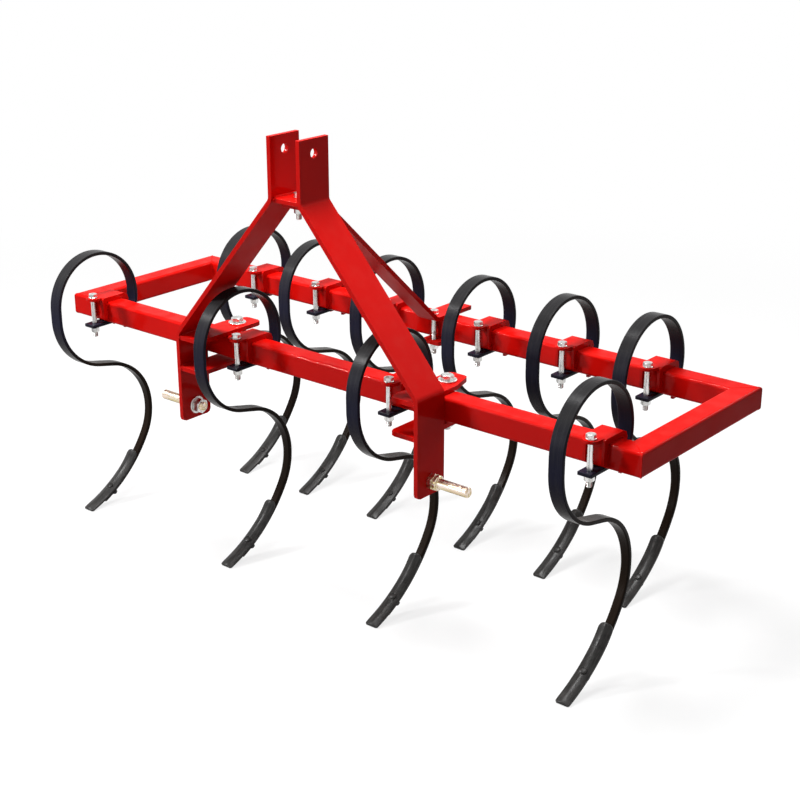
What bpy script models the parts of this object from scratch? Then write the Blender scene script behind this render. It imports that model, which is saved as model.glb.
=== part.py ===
"""A mounted s-tine field cultivator: a frame of square tube, a three-point mast,
ten spring tines with their shares, and the clamps, bolts and pins that hold them.

Metres, +Z up. The frame's long side runs along X, and the tractor stands towards -Y,
so the driver's left is +X. The origin is on the floor under the middle of the machine,
which stands on the points of its shares.
"""
import math

import bmesh
import bpy
from mathutils import Matrix, Vector

# Gaps
SEAT_GAP = 0.0003            # between two pieces that touch
HOLE_CLEARANCE = 0.0006      # between a bolt and the wall of its hole, on the radius
WELD_SINK = 0.0010           # how far a welded plate's edge runs into the piece it joins
DRILL_PAST = 0.010           # how far a drill runs past the faces it cuts

# Frame of square tube
FRAME_WIDTH = 1.600          # along X, over the end bars
FRAME_DEPTH = 0.460          # along Y, front face to rear face
TUBE = 0.050
TUBE_WALL = 0.004
TUBE_CORNER = 0.006

# Where the tines sit
FRONT_OUTER_INSET = 0.097    # outer front tines, in from the frame's ends
REAR_OUTER_INSET = 0.225     # outer rear tines, in from the frame's ends
REAR_INNER = 0.135           # innermost rear tines, out from the middle
FRONT_SPREAD = (0.0, 1.0)    # tines on one half of a bar, from the inner place to the outer one
REAR_SPREAD = (0.0, 0.516, 1.0)
LEG_CLEARANCE = 0.004        # from the inner front tines' loops up to the mast's slanting legs

# Spring tine: a flat strip, thin and wide in its loop, forged narrower and thicker below it
TINE_THICKNESS = 0.008
TINE_WIDTH = 0.032
TINE_STEM_THICKNESS = 0.011
TINE_STEM_WIDTH = 0.020
TINE_NOSE = 0.040            # how far its flat end stands in front of the tube
TINE_HEEL_RADIUS = 0.048     # these are radii of the strip's middle line
TINE_HEEL_TURN = 80.6
TINE_LOOP_RADIUS = 0.1155
TINE_LOOP_FRONT = 0.026      # straight stretch down the loop's front
TINE_BELLY_RADIUS = 0.134
TINE_BELLY_TURN = 77.0
TINE_BRIDGE = 0.047          # straight stretch between the two bends of the S
TINE_KNEE_RADIUS = 0.142
TINE_KNEE_PAST_VERTICAL = 30.0
TINE_FOOT_RADIUS = 0.340
TINE_END_ANGLE = 64.2        # where the strip ends, in degrees past its vertical stretch

# Share
SHARE_WING = 0.006           # how far its long edges reach past each side of the tine
SHARE_THICKNESS = 0.0092     # at its ridge
SHARE_RIM = 0.006            # at its long edges
SHARE_WING_DROP = 0.0015     # how far the long edges stand back from the seat
SHARE_SEAT_MARGIN = 0.001    # of the flat seat past each edge of the tine
SHARE_SEAT_PART = 0.9        # of the width is flat seat where the rounded end is narrower than that
SHARE_TOP_ANGLE = 39.0
SHARE_TIP_ANGLE = 72.5
SHARE_LIFT = 0.0045          # its upper end stands this far off the tine
SHARE_LIFT_TURN = 10.0       # and comes down to the tine over this much of the arc
SHARE_NOSE_TURN = 2.4        # the rounded upper end takes this much of the arc
SHARE_NOSE_START = 0.008     # width of the blunt edge that it starts with
SHARE_NOSE_RINGS = 4

# Tine clamp
CLAMP_CHEEK = 0.0065         # thickness of the cheeks
CLAMP_SIDE_CLEARANCE = 0.0015  # between a cheek and the tine
CLAMP_WEB_TOP = 0.012        # above the tube
CLAMP_WEB = 0.006
CLAMP_FRONT_REACH = 0.012    # of its cheeks in front of the tube
CLAMP_FRONT_DROP = 0.042
CLAMP_REAR_REACH = 0.016     # of its cheeks behind the tube
CLAMP_TOE = 0.010            # thickness of the toe under the tine
CLAMP_TOE_TAIL = 0.006       # how far the cheeks run below the toe
CLAMP_SHOULDER = 0.014       # radius of the bend behind the tube
CLAMP_CHEEK_CORNER = 0.003
CLAMP_HOOK_CORNER = 0.006
CLAMP_BOLT_REACH = 0.022     # bolt axis in front of the tube
CLAMP_TONGUE_RADIUS = 0.014
CLAMP_NECK_FLARE = 0.004     # how much wider than the tongue its neck is, on each side
CLAMP_NECK_STEP = 0.001      # from the cheeks' front edges to the neck

# Bolts: shank diameter, width across flats, head height, nut height, thread past the nut,
# washer diameter and washer thickness
M12 = dict(shank=0.012, flats=0.019, head=0.0075, nut=0.010, tail=0.013, washer=0.024, sheet=0.0025)
M16 = dict(shank=0.016, flats=0.024, head=0.010, nut=0.013, tail=0.007, washer=0.040, sheet=0.003)

# Mast: two bent flat bars, each an ear at the top, a slanting leg and an upright foot
MAST_PLATE = 0.010
MAST_WIDTH = 0.085           # along Y
EAR_GAP = 0.070              # between the two ears
EAR_TOP = 0.488              # heights are above the top of the tube
EAR_BEND = 0.358
TOP_LINK_HOLE_HEIGHT = 0.458
TOP_LINK_HOLE = 0.020
FOOT_SPAN = 0.690            # over the outer faces of the two feet
FOOT_BEND = 0.015
FOOT_DEPTH = 0.194           # below the top of the tube
FOOT_CORNER = 0.010
BEND_RADIUS = 0.018          # of the bar's middle line

# Hitch plates above and below the front bar, and the bolt behind it that draws them together
HITCH_PLATE = 0.010
HITCH_SPACE = 0.012          # open space between the tube and the lower plate
HITCH_PLATE_REACH = 0.064    # inwards from the foot
HITCH_PLATE_INSET = 0.002    # behind the leg's front edge
HITCH_PLATE_BACK = 0.060     # behind the tube
HITCH_PLATE_TAPER = 0.016
HITCH_PLATE_CORNER = 0.012
HITCH_BOLT_INSET = 0.033     # from the inner face of the foot
HITCH_BOLT_BEHIND = 0.013    # bolt axis behind the tube

# Lower link pins
PIN_HEIGHT = 0.164           # below the top of the tube
PIN_DIAMETER = 0.022
PIN_REACH = 0.096            # out from the foot's outer face
PIN_COLLAR = 0.022
PIN_COLLAR_FLATS = 0.032
PIN_THREAD = 0.020
PIN_NUT_FLATS = 0.030
PIN_NUT = 0.016
PIN_WASHER = 0.040
PIN_WASHER_SHEET = 0.003
PIN_TAIL = 0.006
PIN_CHAMFER = 0.002

# Crosspiece between the ears, and the brace back to the rear bar
CROSSPIECE = 0.010
CROSSPIECE_MARGIN = 0.006    # inside the ears' edges
BRACE_PLATE = 0.010
BRACE_WIDTH = 0.052
BRACE_BEND_RADIUS = 0.020
BRACE_UPPER_FLAT = 0.064     # ahead of the upper bend
BRACE_UPPER_BEND = 0.006     # upper bend behind the front bar's front face
BRACE_LOWER_BEND = 0.030     # lower bend ahead of the rear bar
BRACE_TAIL = 0.046           # past the rear bar
BRACE_BOLT_OFFSET = 0.011    # from the tube's faces to the two lower bolts
CLAMP_PLATE_MARGIN = 0.014   # of the plate under the rear bar, past its bolts
CLAMP_PLATE_CORNER = 0.006

# Facets
ROUND = 12                   # sides of a bolt, pin or hole
CORNER_FACETS = 2
ARC_STEP = 12.0              # along bends, in degrees
FOOT_FACETS = 9              # along the tine's foot
SHARP_ABOVE = 35.0           # edges that turn by more degrees stay sharp

FINISHES = {
    # name: (red, green, blue in linear light), roughness, metallic
    "red_paint": ((0.62, 0.010, 0.006), 0.30, 0.0),
    "black_spring_steel": ((0.012, 0.012, 0.014), 0.42, 0.35),
    "share_steel": ((0.045, 0.043, 0.040), 0.50, 0.60),
    "zinc_plate": ((0.62, 0.61, 0.57), 0.32, 0.90),
    "yellow_zinc": ((0.60, 0.44, 0.20), 0.30, 0.90),
}


def empty_the_scene():
    for thing in list(bpy.data.objects):
        bpy.data.objects.remove(thing, do_unlink=True)


def finish(name):
    """The named finish as a material, made the first time it is asked for."""
    known = bpy.data.materials.get(name)
    if known:
        return known
    colour, roughness, metallic = FINISHES[name]
    made = bpy.data.materials.new(name)
    made.use_nodes = True
    shader = made.node_tree.nodes["Principled BSDF"]
    shader.inputs["Base Color"].default_value = (*colour, 1.0)
    shader.inputs["Roughness"].default_value = roughness
    shader.inputs["Metallic"].default_value = metallic
    made.diffuse_color = (*colour, 1.0)
    return made


def mesh_from(name, shape, finish_name):
    """Closes a bmesh into a mesh with outward faces and one finish."""
    bmesh.ops.recalc_face_normals(shape, faces=shape.faces)
    mesh = bpy.data.meshes.new(name)
    shape.to_mesh(mesh)
    shape.free()
    mesh.materials.append(finish(finish_name))
    mesh.shade_smooth()
    mesh.set_sharp_from_angle(angle=math.radians(SHARP_ABOVE))
    return mesh


def place(name, mesh, location=(0.0, 0.0, 0.0), turn=0.0):
    """Puts a mesh into the scene as a piece of the machine, turned about Z."""
    piece = bpy.data.objects.new(name, mesh)
    piece.location = location
    piece.rotation_euler = (0.0, 0.0, turn)
    bpy.context.collection.objects.link(piece)
    return piece


def shaped(name, base, *steps):
    """The base mesh after exact Booleans. Each step is (operation, mesh)."""
    body = place(name + "_blank", base)
    helpers = [body]
    for number, (operation, mesh) in enumerate(steps):
        tool = place(f"{name}_tool_{number}", mesh)
        helpers.append(tool)
        step = body.modifiers.new(operation.title(), "BOOLEAN")
        step.operation = operation
        step.solver = "EXACT"
        step.object = tool
    bpy.context.view_layer.update()
    evaluated = body.evaluated_get(bpy.context.evaluated_depsgraph_get())
    result = bpy.data.meshes.new_from_object(evaluated)
    result.name = name
    for helper in helpers:
        bpy.data.objects.remove(helper, do_unlink=True)
    result.materials.clear()
    result.materials.append(base.materials[0])
    result.shade_smooth()
    result.set_sharp_from_angle(angle=math.radians(SHARP_ABOVE))
    return result


def drilled(name, base, *holes):
    return shaped(name, base, *[("DIFFERENCE", hole) for hole in holes])


def rounded_outline(corners):
    """An outline with its corners rounded. Each corner is (u, v, radius)."""
    outline = []
    count = len(corners)
    for number, (u, v, radius) in enumerate(corners):
        here = Vector((u, v))
        if radius <= 0.0:
            outline.append(tuple(here))
            continue
        before = (Vector(corners[number - 1][:2]) - here).normalized()
        after = (Vector(corners[(number + 1) % count][:2]) - here).normalized()
        half_angle = before.angle(after) / 2.0
        centre = here + (before + after).normalized() * radius / math.sin(half_angle)
        start = here + before * radius / math.tan(half_angle) - centre
        end = here + after * radius / math.tan(half_angle) - centre
        sweep = start.angle_signed(end)
        for step in range(CORNER_FACETS + 1):
            turned_by = -sweep * step / CORNER_FACETS
            outline.append(tuple(centre + Matrix.Rotation(turned_by, 2) @ start))
    return outline


def loft(rings):
    """A closed body through rings of equally many points, with flat ends."""
    shape = bmesh.new()
    loops = [[shape.verts.new(point) for point in ring] for ring in rings]
    for lower, upper in zip(loops, loops[1:]):
        for number in range(len(lower)):
            following = (number + 1) % len(lower)
            shape.faces.new((lower[number], lower[following], upper[following], upper[number]))
    shape.faces.new(loops[0])
    shape.faces.new(loops[-1])
    return shape


def prism(outline, low, high, axis="Z"):
    """An outline carried straight from low to high along an axis.

    The outline's two numbers are X and Y along Z, and Y and Z along X.
    """
    def point(u, v, w):
        return (u, v, w) if axis == "Z" else (w, u, v)
    return loft([[point(u, v, w) for u, v in outline] for w in (low, high)])


def circle(radius):
    """Points of a round whose flats, not its corners, lie on the radius."""
    reach = radius / math.cos(math.pi / ROUND)
    angles = [2 * math.pi * k / ROUND for k in range(ROUND)]
    return [(reach * math.cos(angle), reach * math.sin(angle)) for angle in angles]


def hexagon(flats):
    """A hexagon of the given width across its flats, with a point in each side's middle too."""
    points = []
    for k in range(ROUND):
        angle = 2 * math.pi * k / ROUND
        reach = flats / 2.0 if k % 2 else flats / 2.0 / math.cos(math.pi / 6)
        points.append((reach * math.cos(angle), reach * math.sin(angle)))
    return points


def disc(radius):
    """A round with its corners on the radius, in step with the hexagon's points."""
    angles = [2 * math.pi * k / ROUND for k in range(ROUND)]
    return [(radius * math.cos(angle), radius * math.sin(angle)) for angle in angles]


def turned(stack, finish_name, name, axis="Z"):
    """A body of rings along an axis. Each row of the stack is (position, ring)."""
    def point(u, v, w):
        return (u, v, w) if axis == "Z" else (w, u, v)
    rings = [[point(u, v, position) for u, v in ring] for position, ring in stack]
    return mesh_from(name, loft(rings), finish_name)


def drill(radius, low, high, centre, axis="Z"):
    """The mesh that cuts a round hole of a given radius."""
    outline = [(u + centre[0], v + centre[1]) for u, v in circle(radius)]
    return mesh_from("drill", prism(outline, low, high, axis), "zinc_plate")


def bolt_mesh(name, size, grip):
    """Bolt, washers and nut in one body. The grip's upper face is at z = 0."""
    shank = disc(size["shank"] / 2)
    washer = disc(size["washer"] / 2)
    head = hexagon(size["flats"])
    top_washer = SEAT_GAP + size["sheet"]
    low_washer = -grip - SEAT_GAP - size["sheet"]
    nut_end = low_washer - size["nut"]
    stack = [
        (nut_end - size["tail"], shank),
        (nut_end, shank),
        (nut_end, head),
        (low_washer, head),
        (low_washer, washer),
        (low_washer + size["sheet"], washer),
        (low_washer + size["sheet"], shank),
        (SEAT_GAP, shank),
        (SEAT_GAP, washer),
        (top_washer, washer),
        (top_washer, head),
        (top_washer + size["head"], head),
    ]
    return turned(stack, "zinc_plate", name)


def walk(start, heading, moves, step=ARC_STEP):
    """Stations along lines and arcs in a plane, as (u, v, heading, length so far).

    A move is ("line", length) or ("arc", radius, turn in degrees, positive to the left).
    """
    u, v = start
    gone = 0.0
    stations = [(u, v, heading, gone)]
    for kind, size, *turn in moves:
        if kind == "line":
            u += size * math.cos(heading)
            v += size * math.sin(heading)
            gone += size
            stations.append((u, v, heading, gone))
            continue
        side = math.copysign(1.0, turn[0])
        centre = (u - side * size * math.sin(heading), v + side * size * math.cos(heading))
        facets = max(1, math.ceil(abs(turn[0]) / step))
        first = heading
        for facet in range(1, facets + 1):
            heading = first + math.radians(turn[0]) * facet / facets
            u = centre[0] + side * size * math.sin(heading)
            v = centre[1] - side * size * math.cos(heading)
            along = size * math.radians(abs(turn[0])) * facet / facets
            stations.append((u, v, heading, gone + along))
        gone = stations[-1][3]
    return stations


def strip(stations, size_at, to_space):
    """A flat strip along stations. Its width runs across their plane.

    size_at gives its width and thickness for a length gone along it.
    """
    rings = []
    for u, v, heading, gone in stations:
        half, side = (size / 2.0 for size in size_at(gone))
        section = [(-half, -side), (half, -side), (half, side), (-half, side)]
        rings.append([to_space(u - n * math.sin(heading), v + n * math.cos(heading), w)
                      for w, n in section])
    return loft(rings)


def in_yz(u, v, w):
    return (w, u, v)


# The tine's middle line starts at its nose, in front of the tube and under it. Its frame
# has Y back from the tube's front face and Z up from the tube's top.
TINE_SEAT = -TUBE - SEAT_GAP - TINE_THICKNESS / 2.0
TINE_MOVES = [
    ("line", TINE_NOSE + TUBE),
    ("arc", TINE_HEEL_RADIUS, TINE_HEEL_TURN),
    ("arc", TINE_LOOP_RADIUS, 270.0 - TINE_HEEL_TURN),
    ("line", TINE_LOOP_FRONT),
    ("arc", TINE_BELLY_RADIUS, TINE_BELLY_TURN),
    ("line", TINE_BRIDGE),
    ("arc", TINE_KNEE_RADIUS, -TINE_BELLY_TURN),
    ("arc", TINE_KNEE_RADIUS, -TINE_KNEE_PAST_VERTICAL),
]
UPPER_LINE = walk((-TINE_NOSE, TINE_SEAT), 0.0, TINE_MOVES)
KNEE_END = UPPER_LINE[-1]
FOOT_CENTRE = (
    KNEE_END[0] + TINE_FOOT_RADIUS * math.sin(KNEE_END[2]),
    KNEE_END[1] - TINE_FOOT_RADIUS * math.cos(KNEE_END[2]),
)


FOOT_TURN = TINE_END_ANGLE - TINE_KNEE_PAST_VERTICAL
FOOT_STEP = FOOT_TURN / FOOT_FACETS


def foot_point(angle, radius):
    """A point of the foot's arc, at an angle in degrees past the strip's vertical stretch.

    The arc is faceted as the tine's foot is, so that what seats on the foot lies flat on it.
    """
    facet = math.floor((angle - TINE_KNEE_PAST_VERTICAL) / FOOT_STEP)
    middle = TINE_KNEE_PAST_VERTICAL + (facet + 0.5) * FOOT_STEP
    reach = radius * math.cos(math.radians(FOOT_STEP / 2.0)) / math.cos(math.radians(angle - middle))
    turn = math.radians(angle)
    return (FOOT_CENTRE[0] + reach * math.cos(turn), FOOT_CENTRE[1] - reach * math.sin(turn))


SHARE_SEAT_RADIUS = TINE_FOOT_RADIUS - TINE_STEM_THICKNESS / 2.0 - SEAT_GAP
SHARE_LOWEST = foot_point(SHARE_TIP_ANGLE, SHARE_SEAT_RADIUS + SHARE_WING_DROP)[1]
TINE_BACK = max(station[0] for station in UPPER_LINE) + TINE_STEM_THICKNESS / 2.0
TINE_FRONT = min(station[0] for station in UPPER_LINE) - TINE_THICKNESS / 2.0

# Places in the machine's own frame
TUBE_TOP = -SHARE_LOWEST
REAR_BAR = FRAME_DEPTH - TUBE            # rear bar's front face behind the front bar's
FRONT_FACE = -(REAR_BAR + TINE_BACK + TINE_FRONT) / 2.0


def mitred_tube(name, length):
    """A square tube with mitred ends. Its long face is at y = 0 and its top at z = 0."""
    outer = rounded_outline([(0.0, -TUBE, TUBE_CORNER), (TUBE, -TUBE, TUBE_CORNER),
                             (TUBE, 0.0, TUBE_CORNER), (0.0, 0.0, TUBE_CORNER)])
    bore = TUBE_CORNER - TUBE_WALL
    low, high = TUBE_WALL, TUBE - TUBE_WALL
    inner = rounded_outline([(low, -high, bore), (high, -high, bore),
                             (high, -low, bore), (low, -low, bore)])
    weld = SEAT_GAP / math.sqrt(2.0)
    shape = bmesh.new()
    loops = []
    for outline in (outer, inner):
        for end in (-1.0, 1.0):
            ring = [shape.verts.new((end * (length / 2.0 - y - weld), y, z)) for y, z in outline]
            loops.append(ring)
    outer_left, outer_right, inner_left, inner_right = loops
    bands = [(outer_left, outer_right), (inner_left, inner_right),
             (outer_left, inner_left), (outer_right, inner_right)]
    for first, second in bands:
        for number in range(len(first)):
            following = (number + 1) % len(first)
            shape.faces.new((first[number], first[following], second[following], second[number]))
    return mesh_from(name, shape, "red_paint")


def build_frame():
    # name, length, place of its long face's middle, turn about Z in degrees
    bars = [
        ("front_bar", FRAME_WIDTH, (0.0, FRONT_FACE), 0.0),
        ("rear_bar", FRAME_WIDTH, (0.0, FRONT_FACE + FRAME_DEPTH), 180.0),
        ("left_end_bar", FRAME_DEPTH, (FRAME_WIDTH / 2.0, FRONT_FACE + FRAME_DEPTH / 2.0), 90.0),
        ("right_end_bar", FRAME_DEPTH, (-FRAME_WIDTH / 2.0, FRONT_FACE + FRAME_DEPTH / 2.0), -90.0),
    ]
    for name, length, (x, y), turn in bars:
        place(name, mitred_tube(name, length), (x, y, TUBE_TOP), math.radians(turn))


def tine_mesh():
    """The strip is even round the loop, and narrows and thickens from the belly to the knee."""
    loop_end = walk((0.0, 0.0), 0.0, TINE_MOVES[:5])[-1][3]
    stem_start = walk((0.0, 0.0), 0.0, TINE_MOVES[:7])[-1][3]

    def size_at(gone):
        part = min(1.0, max(0.0, (gone - loop_end) / (stem_start - loop_end)))
        return (TINE_WIDTH + (TINE_STEM_WIDTH - TINE_WIDTH) * part,
                TINE_THICKNESS + (TINE_STEM_THICKNESS - TINE_THICKNESS) * part)

    lower_line = []
    for facet in range(1, FOOT_FACETS + 1):
        place_on_arc = foot_point(TINE_KNEE_PAST_VERTICAL + facet * FOOT_STEP, TINE_FOOT_RADIUS)
        lower_line.append((*place_on_arc, KNEE_END[2] - math.radians(facet * FOOT_STEP), KNEE_END[3]))
    line = UPPER_LINE + lower_line
    shape = strip(line, size_at, in_yz)
    blank = mesh_from("tine_blank", shape, "black_spring_steel")
    hole = drill(M12["shank"] / 2 + HOLE_CLEARANCE, TINE_SEAT - DRILL_PAST, TINE_SEAT + DRILL_PAST,
                 (0.0, -CLAMP_BOLT_REACH))
    return drilled("tine", blank, hole)


def share_mesh():
    """A ridged share on the front of the foot, with a rounded upper end and a square tip.

    Its back lies on the foot, apart from its upper end, which curves forward off the tine.
    """
    half_width = TINE_STEM_WIDTH / 2.0 + SHARE_WING
    half_seat = TINE_STEM_WIDTH / 2.0 + SHARE_SEAT_MARGIN
    nose_start = SHARE_NOSE_START / 2.0
    nose_end = SHARE_TOP_ANGLE + SHARE_NOSE_TURN
    nose = [SHARE_TOP_ANGLE + SHARE_NOSE_TURN * k / SHARE_NOSE_RINGS for k in range(SHARE_NOSE_RINGS + 1)]
    least = FOOT_STEP / 10.0
    facets = math.ceil((SHARE_TIP_ANGLE - TINE_KNEE_PAST_VERTICAL) / FOOT_STEP)
    grid = [TINE_KNEE_PAST_VERTICAL + FOOT_STEP * k for k in range(facets)]
    body = [angle for angle in grid if nose_end + least < angle < SHARE_TIP_ANGLE - least]
    rings = []
    for angle in nose + body + [SHARE_TIP_ANGLE]:
        left = 1.0 - min(1.0, (angle - SHARE_TOP_ANGLE) / SHARE_NOSE_TURN)
        lift = SHARE_LIFT * max(0.0, 1.0 - (angle - SHARE_TOP_ANGLE) / SHARE_LIFT_TURN) ** 2
        half = nose_start + (half_width - nose_start) * math.sqrt(1.0 - left ** 2)
        seat = min(half_seat, SHARE_SEAT_PART * half)
        wing = -SHARE_WING_DROP * max(0.0, half - half_seat) / (half_width - half_seat)
        section = [(-half, wing), (-seat, 0.0), (seat, 0.0), (half, wing),
                   (half, wing + SHARE_RIM), (0.0, SHARE_THICKNESS), (-half, wing + SHARE_RIM)]
        rings.append([in_yz(*foot_point(angle, SHARE_SEAT_RADIUS - lift - n), x) for x, n in section])
    return mesh_from("share", loft(rings), "share_steel")


def clamp_mesh():
    """A pressed clamp: a web over the tube with a tongue for the bolt, two cheeks that
    straddle the tine, and a toe between them that carries the tine behind the tube."""
    inside = TINE_WIDTH / 2.0 + CLAMP_SIDE_CLEARANCE
    half = inside + CLAMP_CHEEK
    top = CLAMP_WEB_TOP
    web_low = top - CLAMP_WEB
    toe_top = TINE_SEAT - TINE_THICKNESS / 2.0 - SEAT_GAP
    toe_low = toe_top - CLAMP_TOE
    cheek_low = toe_low - CLAMP_TOE_TAIL
    front = -CLAMP_FRONT_REACH
    behind = TUBE + CLAMP_REAR_REACH
    tip = -CLAMP_BOLT_REACH - CLAMP_TONGUE_RADIUS
    profile = rounded_outline([
        (tip, web_low, 0.0),
        (front, web_low, 0.0),
        (front, -CLAMP_FRONT_DROP, CLAMP_CHEEK_CORNER),
        (-SEAT_GAP, -CLAMP_FRONT_DROP, 0.0),
        (-SEAT_GAP, SEAT_GAP, 0.0),
        (TUBE + SEAT_GAP, SEAT_GAP, 0.0),
        (TUBE + SEAT_GAP, cheek_low, 0.0),
        (behind, cheek_low, CLAMP_HOOK_CORNER),
        (behind, top, CLAMP_SHOULDER),
        (tip, top, 0.0),
    ])
    ahead = front - DRILL_PAST
    past = behind + DRILL_PAST
    channel = [(ahead, toe_top), (past, toe_top), (past, web_low), (ahead, web_low)]
    under_toe = [(ahead, cheek_low - DRILL_PAST), (past, cheek_low - DRILL_PAST), (past, toe_low),
                 (ahead, toe_low)]
    side = half + DRILL_PAST
    shoulder = front - CLAMP_NECK_STEP
    tongue = CLAMP_TONGUE_RADIUS
    neck = tongue + CLAMP_NECK_FLARE
    tongue_corner = tongue * 0.9
    plan = rounded_outline([
        (-side, past, 0.0), (-side, shoulder, 0.0), (-neck, shoulder, 0.0), (-tongue, tip, tongue_corner),
        (tongue, tip, tongue_corner), (neck, shoulder, 0.0), (side, shoulder, 0.0), (side, past, 0.0)])
    plan_cut = prism(plan, cheek_low - DRILL_PAST, top + DRILL_PAST)
    blank = mesh_from("clamp_blank", prism(profile, -half, half, "X"), "red_paint")
    return shaped(
        "tine_clamp", blank,
        ("DIFFERENCE", mesh_from("channel", prism(channel, -inside, inside, "X"), "red_paint")),
        ("DIFFERENCE", mesh_from("under_toe", prism(under_toe, -inside, inside, "X"), "red_paint")),
        ("INTERSECT", mesh_from("plan", plan_cut, "red_paint")),
        ("DIFFERENCE", drill(M12["shank"] / 2 + HOLE_CLEARANCE, web_low - DRILL_PAST, top + DRILL_PAST,
                             (0.0, -CLAMP_BOLT_REACH))),
    )


# The mast leg's frame has X across the machine, Y back from the front bar's front face
# and Z up from the tube's top.
EAR_X = EAR_GAP / 2.0 + MAST_PLATE / 2.0
FOOT_X = FOOT_SPAN / 2.0 - MAST_PLATE / 2.0
FOOT_INSIDE = FOOT_SPAN / 2.0 - MAST_PLATE
LEG_SLANT = math.atan2(EAR_BEND - FOOT_BEND, FOOT_X - EAR_X)
LEG_BACK = -SEAT_GAP
LEG_MIDDLE = LEG_BACK - MAST_WIDTH / 2.0
HITCH_BOLT_X = FOOT_INSIDE - HITCH_BOLT_INSET
HITCH_BOLT_Y = TUBE + HITCH_BOLT_BEHIND


def inner_front_tine():
    """How far from the middle the inner front tines stand, with their loops just under the legs."""
    loop_top = max(station[1] for station in UPPER_LINE) + TINE_THICKNESS / 2.0
    half_leg = MAST_PLATE / 2.0 / math.cos(LEG_SLANT)
    leg_height = loop_top + LEG_CLEARANCE + half_leg
    outer_edge = FOOT_X - (leg_height - FOOT_BEND) / math.tan(LEG_SLANT)
    return outer_edge - TINE_WIDTH / 2.0


def build_tines():
    tine = tine_mesh()
    share = share_mesh()
    clamp = clamp_mesh()
    grip = CLAMP_WEB_TOP + TUBE + SEAT_GAP + TINE_THICKNESS
    bolt = bolt_mesh("clamp_bolt", M12, grip)
    end = FRAME_WIDTH / 2.0
    # row, front face of its bar, inner tine's place, outer tine's place, spread between them
    rows = [
        ("front", FRONT_FACE, inner_front_tine(), end - FRONT_OUTER_INSET, FRONT_SPREAD),
        ("rear", FRONT_FACE + REAR_BAR, REAR_INNER, end - REAR_OUTER_INSET, REAR_SPREAD),
    ]
    for row, face, inner, outer, spread in rows:
        half_bar = [inner + (outer - inner) * share for share in spread]
        places = [-x for x in reversed(half_bar)] + half_bar
        for number, x in enumerate(places, start=1):
            seat = (x, face, TUBE_TOP)
            place(f"tine_{row}_{number}", tine, seat)
            place(f"share_{row}_{number}", share, seat)
            place(f"tine_clamp_{row}_{number}", clamp, seat)
            bolt_seat = (x, face - CLAMP_BOLT_REACH, TUBE_TOP + CLAMP_WEB_TOP)
            place(f"clamp_bolt_{row}_{number}", bolt, bolt_seat)


def mirrored(mesh, name):
    """The same mesh on the other side of the machine."""
    shape = bmesh.new()
    shape.from_mesh(mesh)
    bmesh.ops.scale(shape, vec=(-1.0, 1.0, 1.0), verts=shape.verts)
    bmesh.ops.reverse_faces(shape, faces=shape.faces)
    copy = bpy.data.meshes.new(name)
    shape.to_mesh(copy)
    shape.free()
    copy.materials.append(mesh.materials[0])
    copy.shade_smooth()
    copy.set_sharp_from_angle(angle=math.radians(SHARP_ABOVE))
    return copy


def leg_stations():
    """Middle line of the bent bar, from the top of the ear down to the foot."""
    turn = math.degrees(math.pi / 2.0 - LEG_SLANT)
    setback = BEND_RADIUS * math.tan(math.radians(turn) / 2.0)
    slope_length = math.hypot(EAR_BEND - FOOT_BEND, FOOT_X - EAR_X) - 2 * setback
    moves = [
        ("line", EAR_TOP - EAR_BEND - setback),
        ("arc", BEND_RADIUS, turn),
        ("line", slope_length),
        ("arc", BEND_RADIUS, -turn),
        ("line", FOOT_BEND + FOOT_DEPTH - setback - FOOT_CORNER),
    ]
    down_corner = [FOOT_CORNER * math.sin(math.pi / 2.0 * k / CORNER_FACETS)
                   for k in range(CORNER_FACETS + 1)]
    moves += [("line", low - high) for high, low in zip(down_corner, down_corner[1:])]
    return walk((EAR_X, EAR_TOP), -math.pi / 2.0, moves)


def leg_mesh(name):
    stations = leg_stations()
    whole = stations[-1][3]

    def width_at(gone):
        down_corner = max(0.0, 1.0 - (whole - gone) / FOOT_CORNER)
        return MAST_WIDTH - 2 * FOOT_CORNER * (1.0 - math.sqrt(1.0 - down_corner ** 2))

    def to_space(u, v, w):
        return (u, LEG_MIDDLE + w, v)

    shape = strip(stations, lambda gone: (width_at(gone), MAST_PLATE), to_space)
    bar = mesh_from(name, shape, "red_paint")
    inner = FOOT_INSIDE - HITCH_PLATE_REACH
    back = TUBE + HITCH_PLATE_BACK
    front = LEG_BACK - MAST_WIDTH + HITCH_PLATE_INSET
    outline = rounded_outline([
        (inner, front, HITCH_PLATE_CORNER),
        (FOOT_INSIDE + WELD_SINK, front, 0.0),
        (FOOT_INSIDE + WELD_SINK, LEG_BACK - WELD_SINK, 0.0),
        (FOOT_INSIDE + WELD_SINK, TUBE, 0.0),
        (FOOT_INSIDE - HITCH_PLATE_TAPER, back, HITCH_PLATE_CORNER),
        (inner, back, HITCH_PLATE_CORNER),
    ])
    above = SEAT_GAP
    below = -TUBE - HITCH_SPACE - HITCH_PLATE
    upper = mesh_from("upper", prism(outline, above, above + HITCH_PLATE), "red_paint")
    lower = mesh_from("lower", prism(outline, below, below + HITCH_PLATE), "red_paint")
    cuts = [
        drill(TOP_LINK_HOLE / 2, 0.0, FOOT_SPAN, (LEG_MIDDLE, TOP_LINK_HOLE_HEIGHT), "X"),
        drill(PIN_THREAD / 2 + HOLE_CLEARANCE, 0.0, FOOT_SPAN, (LEG_MIDDLE, -PIN_HEIGHT), "X"),
        drill(M16["shank"] / 2 + HOLE_CLEARANCE, below - DRILL_PAST, above + HITCH_PLATE + DRILL_PAST,
              (HITCH_BOLT_X, HITCH_BOLT_Y)),
    ]
    return shaped(name, bar, ("UNION", upper), ("UNION", lower), *[("DIFFERENCE", cut) for cut in cuts])


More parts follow.
